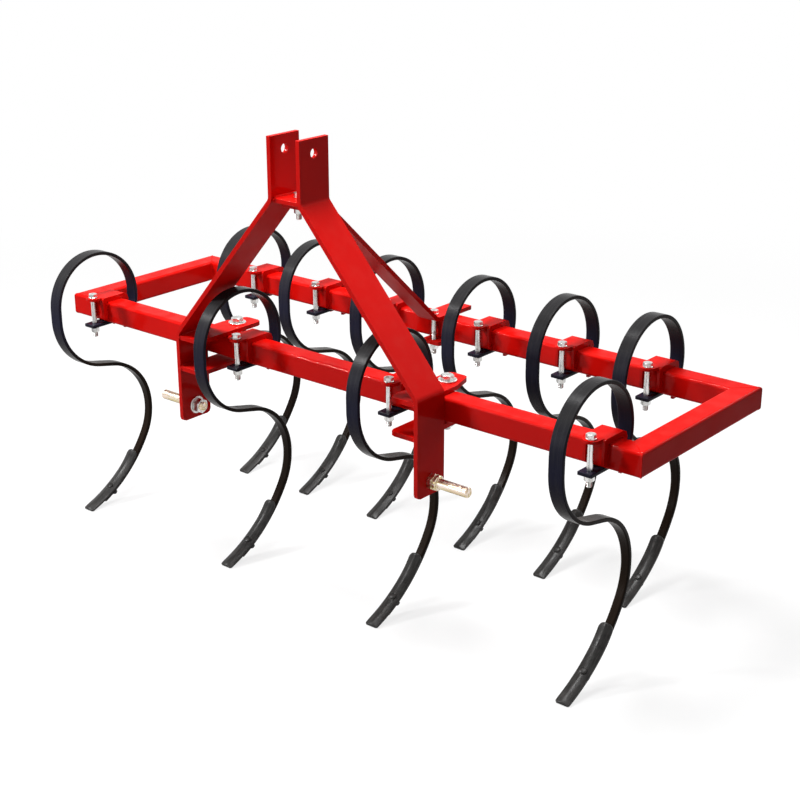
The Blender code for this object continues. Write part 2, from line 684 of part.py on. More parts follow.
def pin_mesh(name):
    """Lower link pin with its collar, thread, washer and nut. The leg's outer face is at x = 0."""
    pin = disc(PIN_DIAMETER / 2)
    thread = disc(PIN_THREAD / 2)
    collar = hexagon(PIN_COLLAR_FLATS)
    washer_start = -MAST_PLATE - SEAT_GAP
    nut_start = washer_start - PIN_WASHER_SHEET
    nut_end = nut_start - PIN_NUT
    stack = [
        (nut_end - PIN_TAIL, thread),
        (nut_end, thread),
        (nut_end, hexagon(PIN_NUT_FLATS)),
        (nut_start, hexagon(PIN_NUT_FLATS)),
        (nut_start, disc(PIN_WASHER / 2)),
        (washer_start, disc(PIN_WASHER / 2)),
        (washer_start, thread),
        (SEAT_GAP, thread),
        (SEAT_GAP, collar),
        (PIN_COLLAR, collar),
        (PIN_COLLAR, pin),
        (PIN_REACH - PIN_CHAMFER, pin),
        (PIN_REACH, disc(PIN_DIAMETER / 2 - PIN_CHAMFER)),
    ]
    return turned(stack, "yellow_zinc", name, "X")


def build_mast():
    left_leg = leg_mesh("mast_leg_left")
    origin = (0.0, FRONT_FACE, TUBE_TOP)
    place("mast_leg_left", left_leg, origin)
    place("mast_leg_right", mirrored(left_leg, "mast_leg_right"), origin)
    left_pin = pin_mesh("lower_link_pin_left")
    right_pin = mirrored(left_pin, "lower_link_pin_right")
    grip = SEAT_GAP + TUBE + HITCH_SPACE + 2 * HITCH_PLATE
    hitch_bolt = bolt_mesh("hitch_bolt", M16, grip)
    # side, direction, pin
    for side, sign, pin in [("left", 1.0, left_pin), ("right", -1.0, right_pin)]:
        place(f"lower_link_pin_{side}", pin,
              (sign * FOOT_SPAN / 2.0, FRONT_FACE + LEG_MIDDLE, TUBE_TOP - PIN_HEIGHT))
        place(f"hitch_bolt_{side}", hitch_bolt,
              (sign * HITCH_BOLT_X, FRONT_FACE + HITCH_BOLT_Y, TUBE_TOP + SEAT_GAP + HITCH_PLATE))


def build_brace():
    top = EAR_BEND + CROSSPIECE / 2.0
    under = top - CROSSPIECE
    half_gap = EAR_GAP / 2.0 - SEAT_GAP
    front = LEG_BACK - MAST_WIDTH + CROSSPIECE_MARGIN
    back = LEG_BACK - CROSSPIECE_MARGIN
    origin = (0.0, FRONT_FACE, TUBE_TOP)
    outline = [(-half_gap, front), (half_gap, front), (half_gap, back), (-half_gap, back)]
    plate = mesh_from("mast_crosspiece", prism(outline, under, top), "red_paint")
    bolt_hole = M12["shank"] / 2 + HOLE_CLEARANCE
    plate_drill = drill(bolt_hole, under - DRILL_PAST, top + DRILL_PAST, (0.0, LEG_MIDDLE))
    place("mast_crosspiece", drilled("mast_crosspiece", plate, plate_drill), origin)

    upper = under - SEAT_GAP - BRACE_PLATE / 2.0
    lower = SEAT_GAP + BRACE_PLATE / 2.0
    bend_front = BRACE_UPPER_BEND
    bend_back = REAR_BAR - BRACE_LOWER_BEND
    slant = math.atan2(upper - lower, bend_back - bend_front)
    setback = BRACE_BEND_RADIUS * math.tan(slant / 2.0)
    moves = [
        ("line", BRACE_UPPER_FLAT + bend_front - setback),
        ("arc", BRACE_BEND_RADIUS, -math.degrees(slant)),
        ("line", math.hypot(upper - lower, bend_back - bend_front) - 2 * setback),
        ("arc", BRACE_BEND_RADIUS, math.degrees(slant)),
        ("line", BRACE_LOWER_BEND - setback + TUBE + BRACE_TAIL),
    ]
    stations = walk((-BRACE_UPPER_FLAT, upper), 0.0, moves)
    shape = strip(stations, lambda gone: (BRACE_WIDTH, BRACE_PLATE), in_yz)
    bar = mesh_from("rear_brace", shape, "red_paint")
    front_bolt = REAR_BAR - BRACE_BOLT_OFFSET
    rear_bolt = REAR_BAR + TUBE + BRACE_BOLT_OFFSET
    bar = drilled(
        "rear_brace", bar,
        drill(bolt_hole, upper - BRACE_PLATE, upper + BRACE_PLATE, (0.0, LEG_MIDDLE)),
        drill(bolt_hole, lower - BRACE_PLATE, lower + BRACE_PLATE, (0.0, front_bolt)),
        drill(bolt_hole, lower - BRACE_PLATE, lower + BRACE_PLATE, (0.0, rear_bolt)),
    )
    place("rear_brace", bar, origin)

    half = BRACE_WIDTH / 2.0
    plate_top = -TUBE - SEAT_GAP
    plate_low = plate_top - BRACE_PLATE
    ahead = front_bolt - CLAMP_PLATE_MARGIN
    behind = rear_bolt + CLAMP_PLATE_MARGIN
    corner = CLAMP_PLATE_CORNER
    outline = rounded_outline([(-half, ahead, corner), (half, ahead, corner),
                               (half, behind, corner), (-half, behind, corner)])
    under_plate = mesh_from("brace_clamp_plate", prism(outline, plate_low, plate_top), "red_paint")
    plate_drills = [drill(bolt_hole, plate_low - DRILL_PAST, plate_top + DRILL_PAST, (0.0, y))
                    for y in (front_bolt, rear_bolt)]
    place("brace_clamp_plate", drilled("brace_clamp_plate", under_plate, *plate_drills), origin)

    top_bolt = bolt_mesh("brace_top_bolt", M12, CROSSPIECE + SEAT_GAP + BRACE_PLATE)
    place("brace_top_bolt", top_bolt, (0.0, FRONT_FACE + LEG_MIDDLE, TUBE_TOP + top))
    clamp_bolt = bolt_mesh("brace_clamp_bolt", M12, TUBE + 2 * SEAT_GAP + 2 * BRACE_PLATE)
    for name, y in [("brace_bolt_front", front_bolt), ("brace_bolt_rear", rear_bolt)]:
        place(name, clamp_bolt, (0.0, FRONT_FACE + y, TUBE_TOP + SEAT_GAP + BRACE_PLATE))


def main():
    empty_the_scene()
    build_frame()
    build_tines()
    build_mast()
    build_brace()


main()
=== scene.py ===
# %% [markdown]
# # A mounted s-tine field cultivator
#
# A tractor carries this machine on its three-point linkage and pulls it through the soil, where
# ten springy steel tines loosen the ground. The welded frame is square tube under glossy red
# paint, the tines are black spring steel, and zinc-plated bolts clamp the tines to the frame.
#
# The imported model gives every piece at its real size. This lesson keeps those sizes, and makes
# each surface again with the rounded edges, welds, threads and finishes that the real one has.

import math

import bmesh
import bpy
import numpy as np
from mathutils import Euler, Matrix, Vector


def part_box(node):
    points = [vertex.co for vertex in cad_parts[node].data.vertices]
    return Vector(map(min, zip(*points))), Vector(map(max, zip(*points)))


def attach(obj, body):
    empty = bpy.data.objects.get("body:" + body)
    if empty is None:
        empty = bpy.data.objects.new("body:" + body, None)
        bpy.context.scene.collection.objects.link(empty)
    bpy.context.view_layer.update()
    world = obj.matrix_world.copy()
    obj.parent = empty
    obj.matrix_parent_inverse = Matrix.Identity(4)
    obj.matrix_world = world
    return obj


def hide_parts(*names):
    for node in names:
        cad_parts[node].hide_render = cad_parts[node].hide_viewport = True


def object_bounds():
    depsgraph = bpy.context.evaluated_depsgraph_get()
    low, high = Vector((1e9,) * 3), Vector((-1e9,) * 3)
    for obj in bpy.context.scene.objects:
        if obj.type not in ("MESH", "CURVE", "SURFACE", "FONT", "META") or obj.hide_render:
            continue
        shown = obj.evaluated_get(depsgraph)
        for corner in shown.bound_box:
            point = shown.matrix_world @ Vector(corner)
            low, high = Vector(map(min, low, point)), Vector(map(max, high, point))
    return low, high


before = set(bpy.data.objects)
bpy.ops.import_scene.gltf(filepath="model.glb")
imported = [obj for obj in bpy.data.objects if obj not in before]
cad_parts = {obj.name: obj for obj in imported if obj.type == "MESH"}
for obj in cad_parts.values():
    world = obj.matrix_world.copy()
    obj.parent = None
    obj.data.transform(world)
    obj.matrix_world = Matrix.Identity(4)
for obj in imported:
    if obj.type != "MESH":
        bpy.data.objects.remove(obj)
cad_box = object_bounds()
BODY = "root"

FRONT_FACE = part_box("front_bar")[0][1]  # y of the front bar's front face
REAR_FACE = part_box("rear_bar")[0][1]  # y of the rear bar's front face
TUBE_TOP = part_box("front_bar")[1][2]
FRAME_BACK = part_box("rear_bar")[1][1]
FRAME_WIDTH = cad_box[1][0] - cad_box[0][0]
print("nodes:", len(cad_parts), " tube top:", round(TUBE_TOP, 4))


# %% [markdown]
# ## The camera
#
# The picture was taken with a fairly long lens from the machine's front left corner, a little
# above it. The camera stands at a measured place from the front bar, so it follows the model.
# Its direction is built from three angles, because a matrix of numbers would tell a reader
# nothing.

# %% Camera
CAMERA_FROM_BAR = (2.1025, -2.2482, 1.0676)  # from the middle of the front bar's top front edge
AZIMUTH, ELEVATION, ROLL = 39.8, 20.585, -0.107  # degrees
LENS, SENSOR_WIDTH = 69.06, 36.0  # mm


def placed(name, data):
    """An object for the given data, linked into the scene."""
    thing = bpy.data.objects.new(name, data)
    bpy.context.scene.collection.objects.link(thing)
    return thing


camera = placed("photo_camera", bpy.data.cameras.new("photo_camera"))
camera.data.lens = LENS
camera.data.sensor_width = SENSOR_WIDTH
camera_place = Vector(CAMERA_FROM_BAR) + Vector((0.0, FRONT_FACE, TUBE_TOP))
# an unturned camera looks down: it is tilted up about X, turned about Z and rolled about its own axis
camera_turn = Euler((math.radians(90.0 - ELEVATION), 0.0, math.radians(AZIMUTH))).to_matrix()
camera_turn @= Matrix.Rotation(math.radians(ROLL), 3, "Z")
camera.matrix_world = Matrix.Translation(camera_place) @ camera_turn.to_4x4()
bpy.context.scene.camera = camera
bpy.context.scene.view_settings.view_transform = "Standard"
print("camera at", [round(v, 3) for v in camera_place])


# %% [markdown]
# ## Shader nodes in few words
#
# Every finish below is a small network of shader nodes. One helper adds a node and fills its
# inputs, and short ones give the steps that come back again and again, so that each material
# reads like a recipe.

# %% Shader helpers
def add(tree, kind, inputs=None, **settings):
    """Adds a shader node. An input gets a plain value, or a link from the socket given for it."""
    node = tree.nodes.new("ShaderNode" + kind)
    for key, value in settings.items():
        setattr(node, key, value)
    for key, value in (inputs or {}).items():
        if isinstance(value, bpy.types.NodeSocket):
            tree.links.new(value, node.inputs[key])
        else:
            node.inputs[key].default_value = value
    return node


def stretched(tree, value, low, high, first=0.0, last=1.0, **settings):
    """The range from low to high is stretched to the range from first to last."""
    inputs = {0: value, 1: low, 2: high, 3: first, 4: last}
    return add(tree, "MapRange", inputs, **settings).outputs[0]


def mixed(tree, share, first, second):
    """The first shader where the share is 0, and the second where it is 1."""
    return add(tree, "MixShader", {0: share, 1: first, 2: second}).outputs[0]


def emptied(owner):
    """The node tree of a new material or world, with nothing in it."""
    owner.use_nodes = True
    owner.node_tree.nodes.clear()
    return owner.node_tree


print("kinds of shader node:", sum(kind.startswith("ShaderNode") for kind in dir(bpy.types)))


# %% [markdown]
# ## Floor and light
#
# A product picture like this one is lit by large soft lamps, with one big lamp overhead, so
# upward faces are bright, the front is middling and the faces turned away are deep red. The
# floor is pale and fades to white away from the machine. White comes from what the camera sees
# of the floor and the world, and not from more light.

# %% Floor
FLOOR_SIZE = 30.0
FADE_START, FADE_END = 1.2, 3.4  # metres from the machine's middle
FLOOR_GLOW = 0.80  # share of white that the camera sees without any lamp
FLOOR_SEEN, FLOOR_UNSEEN = 0.20, 0.28  # greys that the lamps light


def grey(level):
    """A grey as red, green, blue and alpha."""
    return (level, level, level, 1.0)


def seen_directly(tree):
    """1 for rays from the camera and for those that metal or glass mirrors, else 0."""
    path = add(tree, "LightPath").outputs
    mirrored = add(tree, "Math", {0: path["Is Glossy Ray"], 1: path["Is Transmission Ray"]},
                   operation="MAXIMUM")
    either = add(tree, "Math", {0: path["Is Camera Ray"], 1: mirrored.outputs[0]}, operation="MAXIMUM")
    return either.outputs[0]


def floor_material():
    """The camera sees a glow with a little lamplight over it, which keeps the shadow, and plain
    white farther off. The light that reaches the machine from below comes from a plain grey."""
    material = bpy.data.materials.new("pale_floor")
    tree = emptied(material)
    place = add(tree, "TexCoord").outputs["Object"]
    away = add(tree, "VectorMath", {0: place}, operation="LENGTH").outputs["Value"]
    fade = stretched(tree, away, FADE_START, FADE_END, interpolation_type="SMOOTHSTEP")
    plain = add(tree, "BsdfDiffuse", {"Color": grey(FLOOR_UNSEEN)}).outputs[0]
    shadowed = add(tree, "BsdfDiffuse", {"Color": grey(FLOOR_SEEN)}).outputs[0]
    glow = add(tree, "Emission", {"Strength": FLOOR_GLOW}).outputs[0]
    near = add(tree, "AddShader", {0: shadowed, 1: glow}).outputs[0]
    white = add(tree, "Emission", {"Strength": 1.0}).outputs[0]
    seen = mixed(tree, fade, near, white)
    add(tree, "OutputMaterial", {"Surface": mixed(tree, seen_directly(tree), plain, seen)})
    return material


floor_half = FLOOR_SIZE / 2
floor_corners = [(x * floor_half, y * floor_half, 0) for x, y in ((-1, -1), (1, -1), (1, 1), (-1, 1))]
floor_mesh = bpy.data.meshes.new("floor")
floor_mesh.from_pydata(floor_corners, [], [(0, 1, 2, 3)])
floor = placed("floor", floor_mesh)
floor_mesh.materials.append(floor_material())
print("floor: %g m wide, white from %g m out" % (FLOOR_SIZE, FADE_END))

# %% World and lamps
AMBIENT = 0.11  # strength of the world's light on the machine


def light_the_world():
    """White where it is seen, in the picture or in a mirror, and dim where it gives light."""
    world = bpy.data.worlds.new("studio")
    bpy.context.scene.world = world
    tree = emptied(world)
    dim, white = (add(tree, "Background", {"Color": grey(1.0), "Strength": strength}).outputs[0]
                  for strength in (AMBIENT, 1.0))
    add(tree, "OutputWorld", {"Surface": mixed(tree, seen_directly(tree), dim, white)})


def softbox(name, place, aim, size, power):
    """A rectangular lamp at a place, turned so that it faces its aim."""
    lamp = placed(name, bpy.data.lights.new(name, "AREA"))
    lamp.data.shape = "RECTANGLE"
    lamp.data.size, lamp.data.size_y = size
    lamp.data.energy = power
    lamp.location = place
    lamp.rotation_euler = (Vector(aim) - Vector(place)).to_track_quat("-Z", "Y").to_euler()


light_the_world()
# name, place, aim, (width, depth), watts
LAMPS = [
    ("overhead", (-0.2, -0.2, 3.1), (0.0, 0.0, 0.4), (1.0, 0.9), 115.0),
    ("key", (-2.1, -1.75, 2.65), (0.0, 0.0, 0.5), (0.45, 0.45), 99.0),
    ("front", (-1.6, -3.4, 1.2), (0.0, 0.0, 0.5), (2.0, 1.2), 23.0),
    ("behind", (1.3, 3.1, 2.3), (0.0, 0.0, 0.5), (1.2, 0.8), 24.0),
]
for row in LAMPS:
    softbox(*row)
print("lamps:", len(LAMPS))


# %% [markdown]
# ## Effects that several finishes share
#
# Paint and steel both wear at their edges, and no real surface has one even colour. On the red
# paint the paler edges are also a painted highlight. Each such effect is a node group that puts out a
# mask or a value, and a material mixes it in with its own values. Edges are found with the Bevel
# node, which compares the true normal with a rounded one.

# %% Edge wear and painted glint, cloud and dust
def new_group(name, inputs, output):
    """A node group with (name, value) inputs and one output, all plain numbers."""
    group = bpy.data.node_groups.new(name, "ShaderNodeTree")
    for label, value in inputs:
        socket = group.interface.new_socket(label, in_out="INPUT", socket_type="NodeSocketFloat")
        socket.default_value = value
    group.interface.new_socket(output, in_out="OUTPUT", socket_type="NodeSocketFloat")
    return group, group.nodes.new("NodeGroupInput").outputs


def put_out(group, socket):
    """Sends a socket to the group's output and returns the group."""
    group.links.new(socket, group.nodes.new("NodeGroupOutput").inputs[0])
    return group


def object_noise(tree, **values):
    """Noise over Object coordinates, with its own Scale and Detail."""
    place = add(tree, "TexCoord").outputs["Object"]
    return add(tree, "TexNoise", {"Vector": place, **values}).outputs["Fac"]


def product(tree, first, second):
    """One value times another."""
    return add(tree, "Math", {0: first, 1: second}, operation="MULTIPLY").outputs[0]


def make_edges_worn_and_glinting():
    """Mask of edges, worn on steel and a painted highlight on the paint: one less the dot product of
    the rounded and the true normal, stretched to the range 0 to 1 and broken up by noise."""
    group, given = new_group("edges_worn_and_glinting", [("Radius", 0.002), ("Grain", 180.0)], "Mask")
    rounded = add(group, "Bevel", {"Radius": given["Radius"]}, samples=4).outputs[0]
    true = add(group, "NewGeometry").outputs["Normal"]
    dot = add(group, "VectorMath", {0: rounded, 1: true}, operation="DOT_PRODUCT").outputs["Value"]
    broken = stretched(group, object_noise(group, Scale=given["Grain"], Detail=3.0), 0.40, 0.62)
    return put_out(group, product(group, stretched(group, dot, 0.995, 0.86), broken))


def make_cloud():
    """A slow random drift between Low and High, for colour and roughness that is never even."""
    group, given = new_group("cloud", [("Scale", 6.0), ("Low", 0.0), ("High", 1.0)], "Value")
    noise = object_noise(group, Scale=given["Scale"], Detail=4.0, Roughness=0.55)
    return put_out(group, stretched(group, noise, 0.30, 0.70, given["Low"], given["High"]))


def make_dust():
    """Mask of dust: it lies where a face looks up, in drifts that noise breaks up."""
    group, given = new_group("dust", [("Amount", 0.2)], "Mask")
    normal = add(group, "NewGeometry").outputs["Normal"]
    upward = stretched(group, add(group, "SeparateXYZ", {0: normal}).outputs["Z"], 0.35, 1.0)
    drift = stretched(group, object_noise(group, Scale=34.0, Detail=6.0), 0.46, 0.72)
    return put_out(group, product(group, product(group, upward, drift), given["Amount"]))


GROUPS = {group.name: group for group in (make_edges_worn_and_glinting(), make_cloud(), make_dust())}
print("groups:", sorted(GROUPS))


# %% Placing and mixing
def effect(tree, name, **values):
    """Places a shared effect in a material with its own values and returns its output."""
    return add(tree, "Group", values, node_tree=GROUPS[name]).outputs[0]


def blend(tree, mask, first, second):
    """Mixes two colours by a mask. A colour is a tuple or a socket."""
    node = add(tree, "Mix", {"Factor": mask}, data_type="RGBA")
    inputs, outputs = ([s for s in side if s.type == "RGBA"] for side in (node.inputs, node.outputs))
    for socket, colour in zip(inputs, (first, second)):
        if isinstance(colour, tuple):
            socket.default_value = (*colour, 1.0)
        else:
            tree.links.new(colour, socket)
    return outputs[0]


def bumped(tree, height, strength, distance):
    """The normal of a surface whose height varies by the distance."""
    return add(tree, "Bump", {"Height": height, "Strength": strength, "Distance": distance}).outputs[0]


def finish(name, recipe, *values):
    """A material with one Principled shader. The recipe builds what feeds it in the material's
    node tree and returns its inputs."""
    material = bpy.data.materials.new(name)
    tree = emptied(material)
    shader = add(tree, "BsdfPrincipled", recipe(tree, *values))
    add(tree, "OutputMaterial", {"Surface": shader.outputs[0]})
    print(name, "nodes:", len(tree.nodes))
    return material


print("nodes in each group:", {name: len(group.nodes) for name, group in GROUPS.items()})


# %% [markdown]
# ## Red paint
#
# The frame is sprayed with a thick glossy enamel. It flows before it dries, so its surface has the
# faint ripple called orange peel, and it is thin on sharp edges. The paler red on the edges stands
# for that thin paint and is partly a painted highlight. A coat layer gives the hard gloss, and a
# small bump gives the ripple. The coat's weight falls as a face turns edge on, because the white
# room would otherwise wash the red out of slanting faces.

# %% Red paint
RED = (0.62, 0.0040, 0.0022)
# paler red on the edges: thin paint, and partly a painted highlight
RED_THIN_EDGE_GLINT = (0.68, 0.0160, 0.0110)
RED_DEEP = (0.54, 0.0030, 0.0018)
DUST = (0.42, 0.36, 0.30)


def red_paint(tree):
    """Two reds that drift into each other, a paler one at the edges that is partly a painted highlight, and
    a breath of dust.
    """
    body = blend(tree, effect(tree, "cloud", Scale=5.0), RED_DEEP, RED)
    edged_with_glint = blend(tree, effect(tree, "edges_worn_and_glinting", Radius=0.0022, Grain=120.0), body, RED_THIN_EDGE_GLINT)
    edge_on = add(tree, "LayerWeight", {"Blend": 0.5}).outputs["Facing"]
    return {
        "Base Color": blend(tree, effect(tree, "dust", Amount=0.03), edged_with_glint, DUST),
        "Roughness": effect(tree, "cloud", Scale=22.0, Low=0.30, High=0.42),
        "Coat Weight": stretched(tree, edge_on, 0.20, 0.60, 0.12, 0.020),
        "Normal": bumped(tree, object_noise(tree, Scale=260.0, Detail=2.0), 0.10, 0.0004),
        "Specular IOR Level": 0.02, "Coat Roughness": 0.07}


FINISHES = {"red_paint": finish("red_enamel", red_paint)}  # slot in the record: its finish


# %% [markdown]
# ## Spring steel and share steel
#
# The strip is bent hot and hardened in oil, which leaves a black skin, and rolling leaves a fine
# grain along it. The grain follows the piece's own UV map, which runs along the strip. The tint
# follows the height on the machine and is painted reflection: brown low down, blue-black in the loop
# and a grey painted sheen at the top. Scuffs are grey in the loop and brown below it, by the same
# painted reflection, and their paleness is partly painted sheen. The shares are forged, so their
# skin is mottled and rougher.

# %% Spring steel
# painted reflection: the blacks by height stand in for floor and room seen in the black steel, the grey top
# is a painted sheen
BLUE_REFLECTION_BLACK = (0.0145, 0.0145, 0.0300)
GREY_SHEEN_BLACK = (0.0190, 0.0185, 0.0195)
BROWN_REFLECTION_BLACK = (0.0130, 0.0080, 0.0052)
SCUFF_WITH_SHEEN = (0.072, 0.070, 0.070)
SCUFF_WITH_BROWN_REFLECTION = (0.045, 0.031, 0.022)
BELLY_TO_LOOP = (TUBE_TOP - 0.13, TUBE_TOP - 0.03)  # heights over which brown turns blue
LOOP_TO_TOP = (TUBE_TOP - 0.01, TUBE_TOP + 0.08)  # and blue turns grey


def drawn_noise(tree, place, stretch, detail):
    """Noise at place * stretch, so it is longest where the stretch is smallest."""
    stretched_place = add(tree, "Mapping", {"Vector": place, "Scale": stretch}).outputs[0]
    return add(tree, "TexNoise", {"Vector": stretched_place, "Scale": 1.0, "Detail": detail}).outputs["Fac"]


def along_grain(tree, coarse, fine):
    """Noise drawn out along the piece: its UV map is in metres, along the piece and round it."""
    uv = add(tree, "UVMap", uv_map="UVMap").outputs[0]
    return drawn_noise(tree, uv, (coarse, fine, 1.0), 5.0)


def spring_steel(tree):
    """Painted reflection by height: brown, blue and grey blacks, the grey a painted sheen, with scuffs in
    the grain and on the edges.
    """
    place = add(tree, "TexCoord").outputs["Object"]
    height = add(tree, "SeparateXYZ", {0: place}).outputs["Z"]
    low = stretched(tree, height, *BELLY_TO_LOOP)
    lower = blend(tree, low, BROWN_REFLECTION_BLACK, BLUE_REFLECTION_BLACK)
    reflection_tint = blend(tree, stretched(tree, height, *LOOP_TO_TOP), lower, GREY_SHEEN_BLACK)
    # scuffs: paler than wear alone as a painted sheen, and brown below as a painted reflection
    scuffs_with_sheen = blend(tree, low, SCUFF_WITH_BROWN_REFLECTION, SCUFF_WITH_SHEEN)
    grain = stretched(tree, along_grain(tree, 9.0, 700.0), 0.52, 0.80, last=0.45)
    grained_reflection = blend(tree, grain, reflection_tint, scuffs_with_sheen)
    edges = effect(tree, "edges_worn_and_glinting", Radius=0.0013, Grain=260.0)
    return {
        "Base Color": blend(tree, edges, grained_reflection, scuffs_with_sheen),
        "Roughness": effect(tree, "cloud", Scale=30.0, Low=0.20, High=0.31),
        "Normal": bumped(tree, object_noise(tree, Scale=420.0, Detail=4.0), 0.25, 0.0005),
        "Specular IOR Level": 0.035, "Metallic": 0.0}


FINISHES["black_spring_steel"] = finish("black_spring_steel", spring_steel)


# %% Share steel
SHARE_DARK, SHARE_PALE = (0.009, 0.0085, 0.008), (0.025, 0.024, 0.023)
SHARE_STREAK = (0.075, 0.072, 0.068)
SHARE_EDGE = (0.11, 0.105, 0.10)


def share_steel(tree):
    """A mottled dark skin with paler streaks along the share and bright worn edges."""
    mottled = blend(tree, effect(tree, "cloud", Scale=60.0), SHARE_DARK, SHARE_PALE)
    streaks = stretched(tree, along_grain(tree, 30.0, 500.0), 0.50, 0.80, last=0.55)
    streaked = blend(tree, streaks, mottled, SHARE_STREAK)
    edges = effect(tree, "edges_worn_and_glinting", Radius=0.0016, Grain=300.0)
    return {
        "Base Color": blend(tree, edges, streaked, SHARE_EDGE),
        "Roughness": effect(tree, "cloud", Scale=45.0, Low=0.27, High=0.42),
        "Normal": bumped(tree, object_noise(tree, Scale=300.0, Detail=6.0), 0.45, 0.0008),
        "Specular IOR Level": 0.16, "Metallic": 0.0}


FINISHES["share_steel"] = finish("forged_share_steel", share_steel)


# %% [markdown]
# ## Plated steel
#
# Bolts and nuts are zinc plated, which is silvery with a faint crystal pattern. The lower link
# pins are yellow passivated: gold, with pink and green where the film is thicker. Both are
# metals, so their colour is the colour of their reflection. The pale streaks along each piece are
# partly turning marks and partly a painted highlight.

# %% Plated steel
ZINC_TONES = [(0.60, 0.60, 0.59), (0.46, 0.46, 0.45), (0.68, 0.66, 0.62), (0.80, 0.80, 0.80)]
YELLOW_TONES = [(0.62, 0.51, 0.26), (0.44, 0.40, 0.17), (0.64, 0.48, 0.38), (0.82, 0.71, 0.64)]


def plated(tree, tones, roughness, grain, stretch):
    """Plating whose first three tones drift into each other. The fourth, pale, lies over them in streaks,
    which are long where the stretch is small; they are partly a painted highlight along the piece."""
    first = blend(tree, effect(tree, "cloud", Scale=grain), tones[0], tones[1])
    drift = blend(tree, effect(tree, "cloud", Scale=grain * 2.3, Low=-0.2, High=0.9), first, tones[2])
    place = add(tree, "TexCoord").outputs["Object"]
    streaks = stretched(tree, drawn_noise(tree, place, stretch, 3.0), 0.45, 0.62)
    crystals = add(tree, "TexVoronoi", {"Vector": place, "Scale": 900.0}).outputs["Distance"]
    return {
        # pale streaks along the piece: partly a painted highlight
        "Base Color": blend(tree, streaks, drift, tones[3]),
        "Roughness": effect(tree, "cloud", Scale=120.0, Low=roughness - 0.08, High=roughness + 0.10),
        "Normal": bumped(tree, crystals, 0.12, 0.0003),
        "Metallic": 1.0}


# roughness, scale of the drift and stretch of the streaks
FINISHES["zinc_plate"] = finish("zinc_plating", plated, ZINC_TONES, 0.28, 60.0, (150.0, 150.0, 20.0))
FINISHES["yellow_zinc"] = finish("yellow_plating", plated, YELLOW_TONES, 0.24, 14.0, (9.0, 160.0, 160.0))
print("finishes:", sorted(FINISHES))


# %% [markdown]
# ## From a grid of points to a closed skin
#
# Nearly every piece here is a surface over two parameters: how far along the piece, and how far
# round it. numpy works out all the points at once as an array of rows and columns. The last
# column joins the first, so the skin closes round the piece, and the first and last rows shrink
# to one point, so it closes at its ends.

# %% Grid to skin
PLAIN_STEP = 0.001  # of the UV map from point to point, where no lengths are given


def skin(points, along=None, around=None, ring=False):
    """A skin over points (rows, columns, 3). Face (i, j) joins the points (i, j), (i, j + 1),
    (i + 1, j + 1) and (i + 1, j), and the columns wrap round. With ring the rows wrap too.
    Along and around are the lengths that become the UV map. A skin that encloses a negative
    volume has its faces turned round, so that they look outwards."""
    rows, columns = points.shape[:2]
    i, j = np.meshgrid(np.arange(rows if ring else rows - 1), np.arange(columns), indexing="ij")
    corners = ((i, j), (i, j + 1), (i + 1, j + 1), (i + 1, j))
    faces = np.stack([(a % rows) * columns + b % columns for a, b in corners], axis=-1).reshape(-1, 4)
    u, v = (np.arange(count + 1) * PLAIN_STEP for count in (rows, columns))
    if along is not None:
        u = np.append(along, along[-1])
        v = np.append(around, around[-1] * 2 - around[-2])
    uv = np.stack([np.stack((u[a], v[b]), axis=-1) for a, b in corners], axis=-2).reshape(-1, 2)
    verts = points.reshape(-1, 3)
    a, b, c, d = (verts[faces[:, k]] for k in range(4))
    volume = np.einsum("ij,ij->", a, np.cross(b, c)) + np.einsum("ij,ij->", a, np.cross(c, d))
    if volume < 0.0:
        faces = faces[:, ::-1]
        uv = uv.reshape(-1, 4, 2)[:, ::-1].reshape(-1, 2)
    return verts, faces, uv


def closed(points):
    """The same rows with each end shrunk to the middle of its last ring."""
    ends = [np.broadcast_to(row.mean(axis=0), row.shape)[None] for row in (points[0], points[-1])]
    return np.concatenate((ends[0], points, ends[1]))


def laid(skins, axes, origin):
    """Turns skins so that their X, Y and Z lie along the three axes, and moves them to the origin."""
    return [(verts @ np.asarray(axes, float) + origin, faces, uv) for verts, faces, uv in skins]


def moved(skins, offset):
    """The same skins, moved by the offset."""
    return laid(skins, np.eye(3), offset)


def lengths(points):
    """Length along a line of points, up to each of them."""
    return np.concatenate(([0.0], np.cumsum(np.linalg.norm(np.diff(points, axis=0), axis=1))))


def unit(vectors):
    """The same directions with length 1."""
    return vectors / np.linalg.norm(vectors, axis=-1, keepdims=True)


def angles_round(columns):
    """Even steps of a full turn, one for each column."""
    return np.linspace(0.0, 2 * np.pi, columns, endpoint=False)


print("faces on a grid of 3 by 4 points:", len(skin(np.zeros((3, 4, 3)))[1]))

# %% Skin to mesh
MERGE_WITHIN = 2e-6
SHARP_ABOVE = math.radians(32.0)


def merged(source, target, within, flat=0.0):
    """Writes the source mesh to the target with points merged that lie within a distance, and
    with the edges dissolved between faces that are as good as flat."""
    shape = bmesh.new()
    shape.from_mesh(source)
    bmesh.ops.remove_doubles(shape, verts=shape.verts, dist=within)
    if flat:
        bmesh.ops.dissolve_limit(shape, angle_limit=flat, verts=shape.verts, edges=shape.edges,
                                 delimit={"NORMAL"})
    shape.to_mesh(target)
    shape.free()
    return target


def mesh_of(name, skins):
    """One mesh of several skins. Points that coincide at seams and poles are merged."""
    counts = np.cumsum([0] + [len(verts) for verts, _, _ in skins])
    verts = np.concatenate([verts for verts, _, _ in skins])
    faces = np.concatenate([faces + start for (_, faces, _), start in zip(skins, counts)])
    uvs = np.concatenate([uv for _, _, uv in skins])
    mesh = bpy.data.meshes.new(name)
    mesh.from_pydata(verts.tolist(), [], faces.tolist())
    mesh.uv_layers.new(name="UVMap").data.foreach_set("uv", uvs.astype(np.float32).ravel())
    return merged(mesh, mesh, MERGE_WITHIN)


